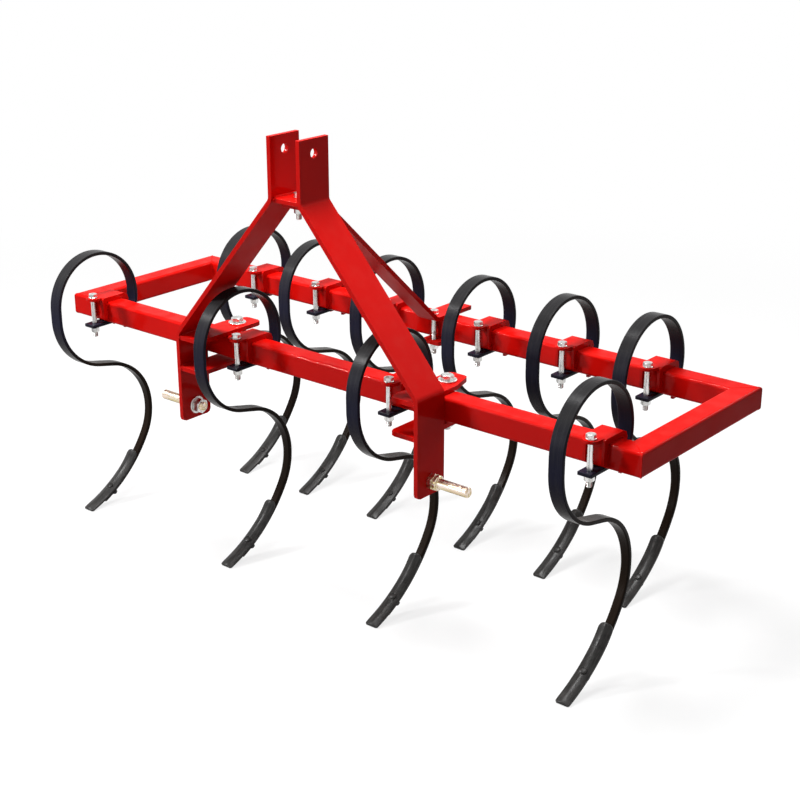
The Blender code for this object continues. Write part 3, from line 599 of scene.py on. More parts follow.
def show(name, shape, slot, *nodes):
    """Puts a finished piece on the machine in place of the nodes it stands for. Its shape is a
    mesh or a list of skins."""
    mesh = mesh_of(name, shape) if isinstance(shape, list) else shape
    mesh.materials.clear()
    mesh.materials.append(FINISHES[slot])
    mesh.shade_smooth()
    mesh.set_sharp_from_angle(angle=SHARP_ABOVE)
    piece = placed(name, mesh)
    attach(piece, BODY)
    if nodes:
        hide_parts(*nodes)
    return piece


print("edges stay sharp above %.0f degrees" % math.degrees(SHARP_ABOVE))


# %% [markdown]
# ## Rounded sections
#
# Rolled tube and strip have rounded corners, and it is the corner that catches the light. A
# section is four arcs. One more point sits just outside each end of an arc, because smooth
# shading would otherwise spread the corner's curve across the flat beside it.

# %% Rounded section
GUARD = 0.15  # of the radius, from an arc's end to its guard point


def rounded_section(half_u, half_v, radius, facets=5):
    """Corners of a rectangle as arcs: centre (sign * (half - radius)) plus radius * (cos, sin).
    At each end of an arc a guard point follows, slid on along the tangent (-sin, cos). Sizes may
    be arrays with one value for each row, and the result is (rows, columns, 2)."""
    sizes = (np.atleast_1d(size).astype(float) for size in (half_u, half_v, radius))
    half_u, half_v, radius = (size[:, None] for size in np.broadcast_arrays(*sizes))
    slide = np.zeros(facets + 3)
    slide[[0, -1]] = -GUARD, GUARD
    u, v = [], []
    for corner, (sign_u, sign_v) in enumerate(((1, 1), (-1, 1), (-1, -1), (1, -1))):
        quarter = np.linspace(0.0, np.pi / 2, facets + 1) + corner * np.pi / 2
        angle = np.pad(quarter, 1, mode="edge")
        u.append(sign_u * (half_u - radius) + radius * (np.cos(angle) - slide * np.sin(angle)))
        v.append(sign_v * (half_v - radius) + radius * (np.sin(angle) + slide * np.cos(angle)))
    return np.stack((np.concatenate(u, axis=1), np.concatenate(v, axis=1)), axis=-1)


print("points round a section:", rounded_section(1.0, 1.0, 0.2).shape[1])


# %% [markdown]
# ## The welded frame
#
# Four lengths of 50 mm square tube meet in mitres, as picture frames do. A mitred end is the
# section slid along the bar by as much as it lies across it: a point at depth y sits at the end
# less y. The walls are real, so each bar is one skin that runs outside, turns in at one end,
# comes back inside and turns out again.

# %% Frame bars
TUBE, TUBE_WALL, TUBE_CORNER = 0.050, 0.004, 0.006
MITRE_GAP = 0.0003


def mitred_bar(length):
    """Rows: outside at the left end, outside at the right end, inside right, inside left. Each
    point of a row is at x = side * (length / 2 - y - gap), y and z being those of the section."""
    middle = TUBE / 2
    outer = rounded_section(middle, middle, TUBE_CORNER)[0]
    inner = rounded_section(middle - TUBE_WALL, middle - TUBE_WALL, TUBE_CORNER - TUBE_WALL)[0]
    rows = []
    for section, side in ((outer, -1), (outer, 1), (inner, 1), (inner, -1)):
        y, z = section[:, 0] + middle, section[:, 1] - middle
        rows.append(np.stack((side * (length / 2 - y - MITRE_GAP), y, z), axis=-1))
    return skin(np.stack(rows), ring=True)


FRAME_DEPTH = FRAME_BACK - FRONT_FACE
FRAME_MIDDLE = (FRAME_BACK + FRONT_FACE) / 2
# node, length, place of the long outer face's middle, direction of the bar
BARS = [
    ("front_bar", FRAME_WIDTH, (0.0, FRONT_FACE), (1, 0)),
    ("rear_bar", FRAME_WIDTH, (0.0, FRAME_BACK), (-1, 0)),
    ("left_end_bar", FRAME_DEPTH, (FRAME_WIDTH / 2, FRAME_MIDDLE), (0, 1)),
    ("right_end_bar", FRAME_DEPTH, (-FRAME_WIDTH / 2, FRAME_MIDDLE), (0, -1)),
]
for node, length, place, (x, y) in BARS:
    axes = ((x, y, 0), (-y, x, 0), (0, 0, 1))
    show(node + "_tube", laid([mitred_bar(length)], axes, (*place, TUBE_TOP)), "red_paint", node)
print("bars:", len(BARS))


# %% [markdown]
# ## Weld beads
#
# A weld is a row of small overlapping puddles. Its surface is a thin round carried along the
# joint, whose radius swells and sinks once for each puddle. Beads run round the four mitres,
# mostly sunk in the tube, as welds are that were ground before painting.

# %% A bead
BEAD_RADIUS, BEAD_SUNK = 0.0016, 0.0009
BEAD_COLUMNS = 10
PUDDLE = 0.0022  # from one puddle to the next
PUDDLE_LOW, PUDDLE_RISE = 0.9, 0.16  # of the radius


def bead(path, outward, across, radius, sunk, ring=False):
    """A round carried along a path: point = path + outward * (r cos t - sunk) + across * r sin t,
    where r = radius * (low + rise * |sin(pi * s / puddle)|) and s is the length along the path.
    The ends of a bead that isn't a ring narrow as a half circle does."""
    s = lengths(path)
    swell = radius * (PUDDLE_LOW + PUDDLE_RISE * np.abs(np.sin(np.pi * s / PUDDLE)))
    if not ring:
        swell = swell * np.sqrt(np.clip(np.minimum(s, s[-1] - s) / radius, 0.04, 1.0))
    t = angles_round(BEAD_COLUMNS)
    out, side = swell[:, None] * np.cos(t) - sunk, swell[:, None] * np.sin(t)
    points = path[:, None] + outward[:, None] * out[..., None] + across * side[..., None]
    return skin(points if ring else closed(points), ring=ring)


print("puddles in a metre of weld:", round(1.0 / PUDDLE))


# %% Beads round the mitres
def resample(points, step):
    """Points at even steps along a polyline that closes on itself."""
    loop = np.concatenate((points, points[:1]))
    s = lengths(loop)
    at = np.linspace(0.0, s[-1], int(round(s[-1] / step)), endpoint=False)
    return np.stack([np.interp(at, s, loop[:, k]) for k in range(3)], axis=-1)


def mitre_bead(sign_x, sign_y):
    """The tube's section drawn out along the mitre, with a bead round it. Outward is square to
    the path and to the mitre, on the side away from the tube's middle."""
    section = rounded_section(TUBE / 2, TUBE / 2, TUBE_CORNER, facets=8)[0]
    inward = section[:, 0] + TUBE / 2
    corner_y = FRONT_FACE if sign_y < 0 else FRAME_BACK
    line = np.stack((sign_x * (FRAME_WIDTH / 2 - inward), corner_y - sign_y * inward,
                     TUBE_TOP - TUBE / 2 + section[:, 1]), axis=-1)
    path = resample(line, PUDDLE / 5)
    tangent = np.roll(path, -1, axis=0) - np.roll(path, 1, axis=0)
    across = np.array((sign_x, -sign_y, 0.0)) / math.sqrt(2.0)
    outward = unit(np.cross(tangent, across))
    outward *= np.sign(np.einsum("ij,ij->i", outward, path - path.mean(axis=0)))[:, None]
    return bead(path, outward, across, BEAD_RADIUS, BEAD_SUNK, ring=True)


mitre_beads = [mitre_bead(x, y) for x in (-1, 1) for y in (-1, 1)]
show("mitre_welds", mitre_beads, "red_paint")
print("mitre welds:", len(mitre_beads))


# %% [markdown]
# ## The spring tines
#
# A tine starts as a straight bar of flat spring steel. It is clamped flat under the frame, turns
# up through a heel, makes three quarters of a loop round the bar and then an S down to its foot.
# The loop lets the point give way to a stone and spring back. Its middle line is a list of
# straights and arcs, and the strip's section is carried along it, wide in the loop, narrower and
# thicker below, where the bar was forged down.

# %% Tine sizes and middle line
SEAT_GAP = 0.0003
TINE_THICKNESS, TINE_STEM_THICKNESS = 0.008, 0.011
TINE_WIDTH, TINE_STEM_WIDTH = 0.032, 0.020
TINE_CORNER, TINE_STEM_CORNER = 0.0016, 0.0032
TINE_NOSE = 0.040
LOOP_END, STEM_START = 5, 7  # moves after which the strip starts and ends narrowing
FOOT_RADIUS = 0.340
FOOT_START, FOOT_END = 30.0, 64.2  # degrees past the strip's vertical stretch
# length of a straight or radius of an arc, and the arc's turn in degrees
TINE_MOVES = [
    (TINE_NOSE + TUBE, 0.0),         # flat under the bar
    (0.048, 80.6),                   # heel
    (0.1155, 189.4),                 # loop
    (0.026, 0.0),                    # down the loop's front
    (0.134, 77.0),                   # belly
    (0.047, 0.0),                    # bridge of the S
    (0.142, -77.0),                  # knee
    (0.142, -FOOT_START),            # stem
    (FOOT_RADIUS, FOOT_START - FOOT_END),
]


def bent_line(start, heading, moves, step=2.5):
    """Rows (u, v, heading, length) along straights and arcs. On an arc of radius r the heading
    turns evenly from h to a, and the point moves by side * r * (sin a - sin h, cos h - cos a)."""
    rows = [np.array([[start[0], start[1], heading, 0.0]])]
    for size, turn in moves:
        u, v, h, s = rows[-1][-1]
        t = np.linspace(0.0, 1.0, max(2, math.ceil(abs(turn) / step)) + 1)[1:]
        a = h + math.radians(turn) * t
        if turn:
            bend = math.copysign(size, turn)
            du, dv = bend * (np.sin(a) - math.sin(h)), bend * (math.cos(h) - np.cos(a))
            gone = size * math.radians(abs(turn)) * t
        else:
            du, dv, gone = size * t * math.cos(h), size * t * math.sin(h), size * t
        rows.append(np.stack((u + du, v + dv, a, s + gone), axis=-1))
    return np.concatenate(rows)


TINE_SEAT = -TUBE - SEAT_GAP - TINE_THICKNESS / 2
TINE_LINE = bent_line((-TINE_NOSE, TINE_SEAT), 0.0, TINE_MOVES)
STEM = bent_line((-TINE_NOSE, TINE_SEAT), 0.0, TINE_MOVES[:-1])[-1]
FOOT_CENTRE = (STEM[0] + FOOT_RADIUS * math.sin(STEM[2]), STEM[1] - FOOT_RADIUS * math.cos(STEM[2]))
NARROWING = [bent_line((0.0, 0.0), 0.0, TINE_MOVES[:k])[-1, 3] for k in (LOOP_END, STEM_START)]
print("tine length: %.3f m in %d rows" % (TINE_LINE[-1, 3], len(TINE_LINE)))

# %% Tine strip
END_INSET = 0.0012  # the broken edge of the strip's ends


def tine_size(s):
    """Half width, half thickness and corner radius at a length along the strip. Each is even
    round the loop and then changes evenly down to the stem."""
    part = np.clip((s - NARROWING[0]) / (NARROWING[1] - NARROWING[0]), 0.0, 1.0)
    sizes = ((TINE_WIDTH / 2, TINE_STEM_WIDTH / 2), (TINE_THICKNESS / 2, TINE_STEM_THICKNESS / 2),
             (TINE_CORNER, TINE_STEM_CORNER))
    return [first + (last - first) * part for first, last in sizes]


def carried(line, size_at):
    """A rounded section carried along a line in the YZ plane. Across the strip is X, and through
    it is the normal (-sin h, cos h) at heading h. The first and last rings are smaller by an
    inset, and their neighbours stand in by as much, so the ends have broken edges. The UV map's
    width is the girth of a row in the loop."""
    start, end = line[:1].copy(), line[-1:].copy()
    for ring, inset in ((start, END_INSET), (end, -END_INSET)):
        ring[0] += inset * np.array((math.cos(ring[0, 2]), math.sin(ring[0, 2]), 0.0, 1.0))
    rows = np.concatenate((line[:1], start, line[1:-1], end, line[-1:]))
    shrink = np.zeros(len(rows))
    shrink[[0, -1]] = END_INSET
    half_u, half_v, corner = size_at(rows[:, 3])
    section = rounded_section(half_u - shrink, half_v - shrink, corner, facets=4)
    normal = np.stack((-np.sin(rows[:, 2]), np.cos(rows[:, 2])), axis=-1)
    yz = rows[:, None, :2] + normal[:, None] * section[..., 1:]
    points = np.concatenate((section[..., :1], yz), axis=-1)
    return skin(closed(points), np.pad(rows[:, 3], 1, mode="edge"), lengths(section[len(rows) // 4]))


print("strip at the foot: %.0f x %.0f mm" % tuple(2000 * half for half in tine_size(TINE_LINE[-1, 3])[:2]))


# %% Ten tines
ROWS = [("front", FRONT_FACE, 4), ("rear", REAR_FACE, 6)]  # row, front face of its bar, tines


def middle(node):
    """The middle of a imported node's box."""
    low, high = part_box(node)
    return [(a + b) / 2 for a, b in zip(low, high)]


def places():
    """Each tine's row, number and seat: its middle across the machine, its bar's front face and
    the top of the tube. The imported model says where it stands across."""
    for row, face, count in ROWS:
        for number in range(1, count + 1):
            yield row, number, (middle(f"tine_{row}_{number}")[0], face, TUBE_TOP)


def at_each_tine(part, ending, skins, slot):
    """Shows one copy of the skins at every tine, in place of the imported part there."""
    for row, number, seat in places():
        node = f"{part}_{row}_{number}"
        show(f"{node}_{ending}", moved(skins, seat), slot, node)
    print(part, "copies:", len(list(places())), " faces in one:", sum(len(s[1]) for s in skins))


at_each_tine("tine", "strip", [carried(TINE_LINE, tine_size)], "black_spring_steel")


# %% [markdown]
# ## The shares
#
# The share does the work in the soil, and is bolted to the front of the tine's foot so that it can
# be turned round or changed when it is worn. It is a ridged plate on the same arc as the foot: flat
# on its back where it seats, thickest in its middle, rounded at its upper end and cut square at its
# tip. Its upper end stands a little off the tine. The bolt's low round head sits in a dished
# collar, and its nut is behind the tine.

# %% Share plate
SHARE_WING = 0.006  # past each side of the tine
SHARE_THICKNESS, SHARE_RIM = 0.0092, 0.006  # at its ridge and at its long edges
SHARE_HOLLOW = 1.4  # power of the slope from the ridge to the edge
SHARE_WING_DROP = 0.0015  # of the back, out to the long edges
SHARE_SEAT_MARGIN = 0.001  # of the flat seat, past each side of the tine
SHARE_BREAK = 0.0009  # of its long edges
EDGE_LEVELS = (0.14, 0.5, 0.86)  # the three points of a long edge, from back to front
SHARE_TOP, SHARE_TIP = 39.0, 72.4  # degrees on the foot's arc
SHARE_NOSE_TURN = 2.4
SHARE_NOSE_START = 0.004  # half the width of its blunt upper edge
SHARE_NOSE_THIN = 0.70  # part of the thickness there
SHARE_LIFT, SHARE_LIFT_TURN = 0.0045, 10.0
SHARE_TIP_TURN, SHARE_TIP_CORNER = 0.9, 0.0045
SHARE_TIP_BEVEL, SHARE_TIP_THIN = 2.6, 0.55  # degrees over which the tip gets thinner, and how far
SHARE_ROUND_ROWS, SHARE_ROWS, SHARE_COLUMNS = 9, 34, 19
SHARE_FULL = TINE_STEM_WIDTH / 2 + SHARE_WING


def foot_point(angle, radius):
    """A point of the foot's arc in (y, z): centre + radius * (cos, -sin) of the angle."""
    turn = np.radians(angle)
    return FOOT_CENTRE[0] + radius * np.cos(turn), FOOT_CENTRE[1] - radius * np.sin(turn)


def eased(part, start):
    """From start to 1 along a quarter of a circle, as part goes from 1 to 0."""
    return start + (1.0 - start) * np.sqrt(1.0 - part ** 2)


def share_outline():
    """Angles on the arc and half the width there. The width follows a quarter of a circle at the
    upper end, and loses one at each corner of the tip."""
    rounded = np.linspace(0.0, np.pi / 2, SHARE_ROUND_ROWS)
    nose_end, tip_start = SHARE_TOP + SHARE_NOSE_TURN, SHARE_TIP - SHARE_TIP_TURN
    arc = np.concatenate((SHARE_TOP + SHARE_NOSE_TURN * (1 - np.cos(rounded)),
                          np.linspace(nose_end, tip_start, SHARE_ROWS)[1:],
                          SHARE_TIP - SHARE_TIP_TURN * (1 - np.sin(rounded[1:]))))
    nose = 1.0 - np.clip((arc - SHARE_TOP) / SHARE_NOSE_TURN, 0.0, 1.0)
    worn = 1.0 - np.clip((SHARE_TIP - arc) / SHARE_TIP_TURN, 0.0, 1.0)
    half = SHARE_FULL * eased(nose, SHARE_NOSE_START / SHARE_FULL)
    return arc, half - SHARE_TIP_CORNER * (1.0 - eased(worn, 0.0)), nose


def share_skin():
    """Rows follow the arc and columns go round the section. The back is flat out to the seat's
    edge and then drops. The front is the ridge's height less (ridge - rim) * |x / half| to the
    power of the hollow. Both stop short of the long edges, which are three points each."""
    arc, half, nose = share_outline()
    seat = TINE_STEM_WIDTH / 2 + SHARE_SEAT_MARGIN
    bevel = np.sqrt(np.clip((SHARE_TIP - arc) / SHARE_TIP_BEVEL, 0.0, 1.0))
    thin = np.minimum(SHARE_TIP_THIN + (1.0 - SHARE_TIP_THIN) * bevel, eased(nose, SHARE_NOSE_THIN))[:, None]
    across = np.sin(np.linspace(-np.pi / 2, np.pi / 2, SHARE_COLUMNS))
    x = (half[:, None] - SHARE_BREAK) * across
    back = -SHARE_WING_DROP * np.clip((np.abs(x) - seat) / (SHARE_FULL - seat), 0.0, 1.0)
    rim = back[:, :1] + SHARE_RIM * thin
    ridge = SHARE_THICKNESS * thin
    front = ridge - (ridge - rim) * np.abs(across) ** SHARE_HOLLOW
    edge_x = np.broadcast_to(half[:, None], (len(arc), len(EDGE_LEVELS)))
    edge_n = back[:, -1:] + (rim - back[:, -1:]) * np.array(EDGE_LEVELS)
    xs = np.concatenate((x, edge_x, x[:, ::-1], -edge_x), axis=1)
    ns = np.concatenate((back, edge_n, front[:, ::-1], edge_n[:, ::-1]), axis=1)
    lift = SHARE_LIFT * np.clip(1.0 - (arc - SHARE_TOP) / SHARE_LIFT_TURN, 0.0, 1.0) ** 2
    seat_radius = FOOT_RADIUS - TINE_STEM_THICKNESS / 2 - SEAT_GAP
    y, z = foot_point(arc[:, None], seat_radius - lift[:, None] - ns)
    along = np.pad(np.radians(arc) * FOOT_RADIUS, 1, mode="edge")
    middle_row = len(arc) // 2
    around = lengths(np.stack((xs[middle_row], ns[middle_row]), axis=-1))
    return skin(closed(np.stack((xs, y, z), axis=-1)), along, around)


print("share: %.1f mm wide" % (2000 * share_outline()[1].max()))

# %% Turned and hexagon shapes
CONE_START = 0.96  # of the half width across flats, where the cone begins to cut
CONE_SLOPE = math.tan(math.radians(30.0))
HEX_RINGS, HEX_COLUMNS = (0.3, 0.8, 0.9, CONE_START, 1.0), 48


def round_axis(r, z, t):
    """A closed skin of the points (r cos t, r sin t, z), with rows of r and z and columns of t."""
    r, z, t = np.broadcast_arrays(r, z, t)
    return skin(closed(np.stack((r * np.cos(t), r * np.sin(t), z), axis=-1)))


def turned_skin(profile, columns=32):
    """A profile of (radius, height) rows turned round the Z axis, closed at both ends."""
    profile = np.array(profile, float)
    return round_axis(profile[:, :1], profile[:, 1:], angles_round(columns))


def hex_skin(flats, low, high, chamfer_low=True):
    """A hexagon bar with turned ends. Its edge is at r = flats / 2 / cos of the angle from the
    nearest flat, and beyond the cone's start the end falls away at 30 degrees."""
    t = angles_round(HEX_COLUMNS)
    edge = flats / 2 / np.cos((t + np.pi / 6) % (np.pi / 3) - np.pi / 6)
    reach = np.array(HEX_RINGS)[:, None] * edge
    fall = CONE_SLOPE * np.clip(reach - CONE_START * flats / 2, 0.0, None)
    z = np.concatenate((low + fall * chamfer_low, (high - fall)[::-1]))
    return round_axis(np.concatenate((reach, reach[::-1])), z, t)


print("faces of a hexagon:", len(hex_skin(1.0, 0.0, 1.0)[1]))

# %% Share bolts
SHARE_BOLT = 58.0  # degrees on the foot's arc
# radius and height over the share's ridge: up the collar, over its crest and down into the groove
SHARE_COLLAR = [(0.0094, -0.0040), (0.0094, -0.0010), (0.0086, 0.00088), (0.0083, 0.0011),
                (0.0080, 0.00099), (0.0079, 0.0001)]
SHARE_HEAD = [(0.0071, 0.0001), (0.0071, 0.00077)]  # and up the bolt's head
SHARE_DOME = 0.0012
# radius and height over the back of the tine
SHARE_STUD = [(0.0028, -0.0115), (0.0038, -0.0105), (0.0038, 0.0)]
SHARE_NUT_FLATS = 0.013
SHARE_NUT_ENDS = (-0.0075, -0.0002)


def share_bolt_skins():
    """Domed head in its collar in front of the share, and nut behind the tine, both along the
    arc's radius. Heights are from the middle of the tine's foot."""
    turn = math.radians(SHARE_BOLT)
    outward = np.array((0.0, -math.cos(turn), math.sin(turn)))       # from the tine to the front
    across = np.array((1.0, 0.0, 0.0))
    ridge = TINE_STEM_THICKNESS / 2 + SEAT_GAP + SHARE_THICKNESS
    behind = -TINE_STEM_THICKNESS / 2
    radius, shoulder = SHARE_HEAD[-1]
    rounded = np.linspace(0.0, np.pi / 2 * 0.97, 8)
    dome = list(zip(radius * np.cos(rounded), shoulder + 0.0001 + SHARE_DOME * np.sin(rounded)))
    head = moved([turned_skin(SHARE_COLLAR + SHARE_HEAD + dome, 28)], (0, 0, ridge))
    nut = moved([hex_skin(SHARE_NUT_FLATS, *SHARE_NUT_ENDS), turned_skin(SHARE_STUD, 20)], (0, 0, behind))
    axes = (across, np.cross(outward, across), outward)
    return laid(head + nut, axes, (0.0, *foot_point(SHARE_BOLT, FOOT_RADIUS)))


at_each_tine("share", "plate", [share_skin()] + share_bolt_skins(), "share_steel")


# %% [markdown]
# ## Bolts
#
# A hexagon head is turned on its end, so the corners of its flat top are cut by a cone, which
# leaves the arcs that every bolt shows. The thread is a ridge that climbs by its pitch in each
# turn. On the grid that is a triangle wave of height less angle.

# %% Threads and washers
THREAD_DEPTH = 0.54  # of the pitch
THREAD_TIP = 0.0016  # narrowing of a thread's lower end, like a chamfer
THREAD_ROWS = 6  # for each turn
WASHER_BREAK, WASHER_HOLE = 0.22, 0.6  # broken edge, of the thickness, and hole, of the radius


def threaded(radius, pitch, low, high, columns=20):
    """A rod whose radius is radius - depth * w, where w is a triangle wave, 0 to 1, of
    (z / pitch - angle / 2 pi). Its lower end narrows, and its upper end is hidden."""
    z = np.linspace(low, high, int((high - low) / pitch * THREAD_ROWS))[:, None]
    t = angles_round(columns)
    phase = (z / pitch - t / (2 * np.pi)) % 1.0
    ridges = radius - THREAD_DEPTH * pitch * np.abs(2 * phase - 1)
    return round_axis(np.minimum(ridges, radius - THREAD_TIP + (z - low)), z, t)


def washer_skin(radius, low, high):
    """A flat ring with a broken edge. The bolt fills its hole."""
    e = (high - low) * WASHER_BREAK
    hole = radius * WASHER_HOLE
    return turned_skin([(hole, low), (radius - e, low), (radius, low + e),
                        (radius, high - e), (radius - e, high), (hole, high)], 40)


print("faces of a washer:", len(washer_skin(0.010, 0.0, 0.002)[1]))


# %% Bolt sets
# shank diameter, width across flats, head, nut, tail, washer diameter and thickness, pitch
M12 = dict(shank=0.012, flats=0.018, head=0.0075, nut=0.010, tail=0.013,
           washer=0.021, sheet=0.0025, pitch=0.00175)
M16 = dict(shank=0.016, flats=0.024, head=0.010, nut=0.013, tail=0.007,
           washer=0.040, sheet=0.003, pitch=0.002)
NUT_GAP = 0.0001  # from a washer to the head or nut on it
OVERLAP = 0.001  # of the thread into the plain shank, and of that into the head
CLAMP_WEB_TOP = 0.012  # over the tube
CLAMP_BOLT_REACH = 0.022  # in front of the bar
PLATE = 0.010  # hitch plates, crosspiece and brace
HITCH_SPACE = 0.012


def bolt_skins(size, grip, plain):
    """Bolt, washers and nut. The grip's upper face is at z = 0, and the shank has no thread for
    its first stretch, whose length is plain."""
    top_washer = SEAT_GAP + size["sheet"]
    low_washer = -grip - SEAT_GAP - size["sheet"]
    nut_end = low_washer - size["nut"]
    shank, washer = size["shank"] / 2, size["washer"] / 2
    return [
        hex_skin(size["flats"], top_washer + NUT_GAP, top_washer + size["head"], chamfer_low=False),
        washer_skin(washer, SEAT_GAP, top_washer),
        turned_skin([(shank, -plain), (shank, top_washer + OVERLAP)]),
        threaded(shank, size["pitch"], nut_end - size["tail"], OVERLAP - plain),
        washer_skin(washer, low_washer, low_washer + size["sheet"]),
        hex_skin(size["flats"], nut_end, low_washer - NUT_GAP),
    ]


clamp_bolt = bolt_skins(M12, CLAMP_WEB_TOP + TUBE + SEAT_GAP + TINE_THICKNESS, 0.062)
at_each_tine("clamp_bolt", "set", moved(clamp_bolt, (0.0, -CLAMP_BOLT_REACH, CLAMP_WEB_TOP)), "zinc_plate")

# %% Bolts of the mast and brace
HITCH_GRIP = SEAT_GAP + TUBE + HITCH_SPACE + 2 * PLATE
BRACE_GRIP = TUBE + 2 * SEAT_GAP + 2 * PLATE
# node, size, grip, plain stretch of the shank
BOLTS = [
    ("hitch_bolt_left", M16, HITCH_GRIP, 0.060),
    ("hitch_bolt_right", M16, HITCH_GRIP, 0.060),
    ("brace_top_bolt", M12, PLATE + SEAT_GAP + PLATE, 0.004),
    ("brace_bolt_front", M12, BRACE_GRIP, 0.040),
    ("brace_bolt_rear", M12, BRACE_GRIP, 0.040),
]
for node, size, grip, plain in BOLTS:
    x, y, _ = middle(node)
    grip_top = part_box(node)[1][2] - size["head"] - size["sheet"] - SEAT_GAP
    show(node + "_set", moved(bolt_skins(size, grip, plain), (x, y, grip_top)), "zinc_plate", node)
print("bolts of the mast and brace:", len(BOLTS))


# %% [markdown]
# ## Lower link pins
#
# The tractor's two lower arms end in balls that slide over these pins, and a spring clip keeps
# them there. The pin and its hexagonal collar are one turned piece, drawn tight against the foot
# of the mast by a nut on the inner side.

# %% Pins
MAST_PLATE = 0.010
PIN_RADIUS, PIN_REACH = 0.011, 0.096
PIN_CHAMFER = 0.002
PIN_COLLAR, PIN_GROOVE = 0.022, 0.0132  # heights of the collar's top and of its groove
PIN_COLLAR_FLATS = 0.032
GROOVE_RADIUS, SHOULDER_RADIUS = 0.0140, 0.0158
PIN_THREAD, PIN_PITCH, PIN_TAIL = 0.010, 0.0015, 0.006
# past the pin's radius and over its collar: the fillet at the pin's root
PIN_ROOT = [(0.0014, 0.0), (0.0003, 0.0005), (-0.0005, 0.0014)]
PIN_WASHER = -MAST_PLATE - SEAT_GAP
PIN_NUT = PIN_WASHER - 0.003
PIN_NUT_END = PIN_NUT - 0.016
PIN_NUT_FLATS, PIN_WASHER_RADIUS = 0.030, 0.020


def pin_skins():
    """Pin, collar and thread in one piece, along Z with the foot's outer face at z = 0. The collar
    is a hexagon below and round above, with a groove between."""
    shaft = [(PIN_RADIUS, 0.001), (PIN_RADIUS, PIN_REACH - PIN_CHAMFER),
             (PIN_RADIUS - 0.0006, PIN_REACH - 0.0011), (PIN_RADIUS - PIN_CHAMFER, PIN_REACH)]
    shoulder = [(GROOVE_RADIUS, PIN_GROOVE - 0.002), (GROOVE_RADIUS, PIN_GROOVE + 0.001),
                (SHOULDER_RADIUS, PIN_GROOVE + 0.0016), (SHOULDER_RADIUS, PIN_COLLAR - 0.0012),
                (SHOULDER_RADIUS - 0.001, PIN_COLLAR)]
    shoulder += [(PIN_RADIUS + r, PIN_COLLAR + z) for r, z in PIN_ROOT]
    return [turned_skin(shaft, 40), hex_skin(PIN_COLLAR_FLATS, SEAT_GAP, PIN_GROOVE),
            turned_skin(shoulder, 48),
            threaded(PIN_THREAD, PIN_PITCH, PIN_NUT_END - PIN_TAIL, 0.002, columns=28)]


pin_nut = [washer_skin(PIN_WASHER_RADIUS, PIN_NUT, PIN_WASHER),
           hex_skin(PIN_NUT_FLATS, PIN_NUT_END, PIN_NUT - NUT_GAP)]
for side, sign in (("left", 1.0), ("right", -1.0)):
    node = f"lower_link_pin_{side}"
    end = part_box(node)[1 if sign > 0 else 0][0]
    axes = ((0.0, sign, 0.0), (0.0, 0.0, 1.0), (sign, 0.0, 0.0))
    origin = (end - sign * PIN_REACH, *middle(node)[1:])
    show(node + "_turned", laid(pin_skins(), axes, origin), "yellow_zinc", node)
    show(f"lower_link_nut_{side}", laid(pin_nut, axes, origin), "zinc_plate")
    print(node, "foot face at x =", round(origin[0], 4))


# %% [markdown]
# ## Bent plate and brace
#
# The mast, its crosspiece and the brace are bent plate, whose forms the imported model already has
# with sharp edges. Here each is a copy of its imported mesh: the loose triangles are merged, seams
# across flat faces are dissolved, and a Bevel modifier rolls the sharp edges over, as shot
# blasting and thick paint do.

# %% Softened plates
PACKED_MERGE = 2e-5
FLAT_WITHIN = math.radians(1.0)
ROUND_ABOVE = math.radians(38.0)
THICK_EDGE, THIN_EDGE = 0.0016, 0.0014  # radius of the rolled edges


def merged_mesh(node):
    """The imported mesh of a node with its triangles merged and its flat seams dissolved."""
    mesh = bpy.data.meshes.new(node + "_plate")
    merged(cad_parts[node].data, mesh, PACKED_MERGE, FLAT_WITHIN)
    if not mesh.uv_layers:
        mesh.uv_layers.new(name="UVMap")
    return mesh


def softened(node, mesh, rounding):
    """Shows a plate in place of its node, with a Bevel modifier on its sharp edges."""
    piece = show(node + "_plate", mesh, "red_paint", node)
    edge = piece.modifiers.new("rounded_edges", "BEVEL")
    edge.width = rounding
    edge.segments = 3
    edge.limit_method = "ANGLE"
    edge.angle_limit = ROUND_ABOVE
    edge.harden_normals = True


PLATES = [("mast_leg_left", THICK_EDGE), ("mast_leg_right", THICK_EDGE), ("mast_crosspiece", THICK_EDGE),
          ("rear_brace", THIN_EDGE), ("brace_clamp_plate", THIN_EDGE)]
for node, rounding in PLATES:
    softened(node, merged_mesh(node), rounding)
print("plates:", len(PLATES))


# %% [markdown]
# ## Clamps
#
# Each clamp is pressed from one plate, and the front upper corners of its two cheeks are well
# rounded beside the tongue that holds the bolt. A Boolean modifier cuts those corners off one
# packed clamp, its result becomes a mesh, and all ten clamps are copies of that.

# %% Clamps with rounded cheeks
CLAMP_FRONT_REACH = 0.012
CHEEK_CORNER = 0.0065
CHEEK_FROM, CHEEK_TO = 0.0183, 0.030  # x of the cut, on both sides
CUTTER_REACH = 0.030


def corner_cutter(start, end):
    """The space outside a rounded corner, from one x to another: points go along the arc
    (corner + radius * (1 - cos t, sin t - 1)) and back round three far corners."""
    y, z, r = -CLAMP_FRONT_REACH, CLAMP_WEB_TOP, CHEEK_CORNER
    far_y, far_z = y - CUTTER_REACH, z + CUTTER_REACH
    t = np.linspace(0.0, np.pi / 2, 9)
    arc = np.stack((y + r * (1 - np.cos(t)), z + r * (np.sin(t) - 1)), axis=-1)
    outline = np.concatenate((arc, ((y + r, far_z), (far_y, far_z), (far_y, z - r))))
    return skin(closed(np.stack([np.insert(outline, 0, x, axis=1) for x in (start, end)])))


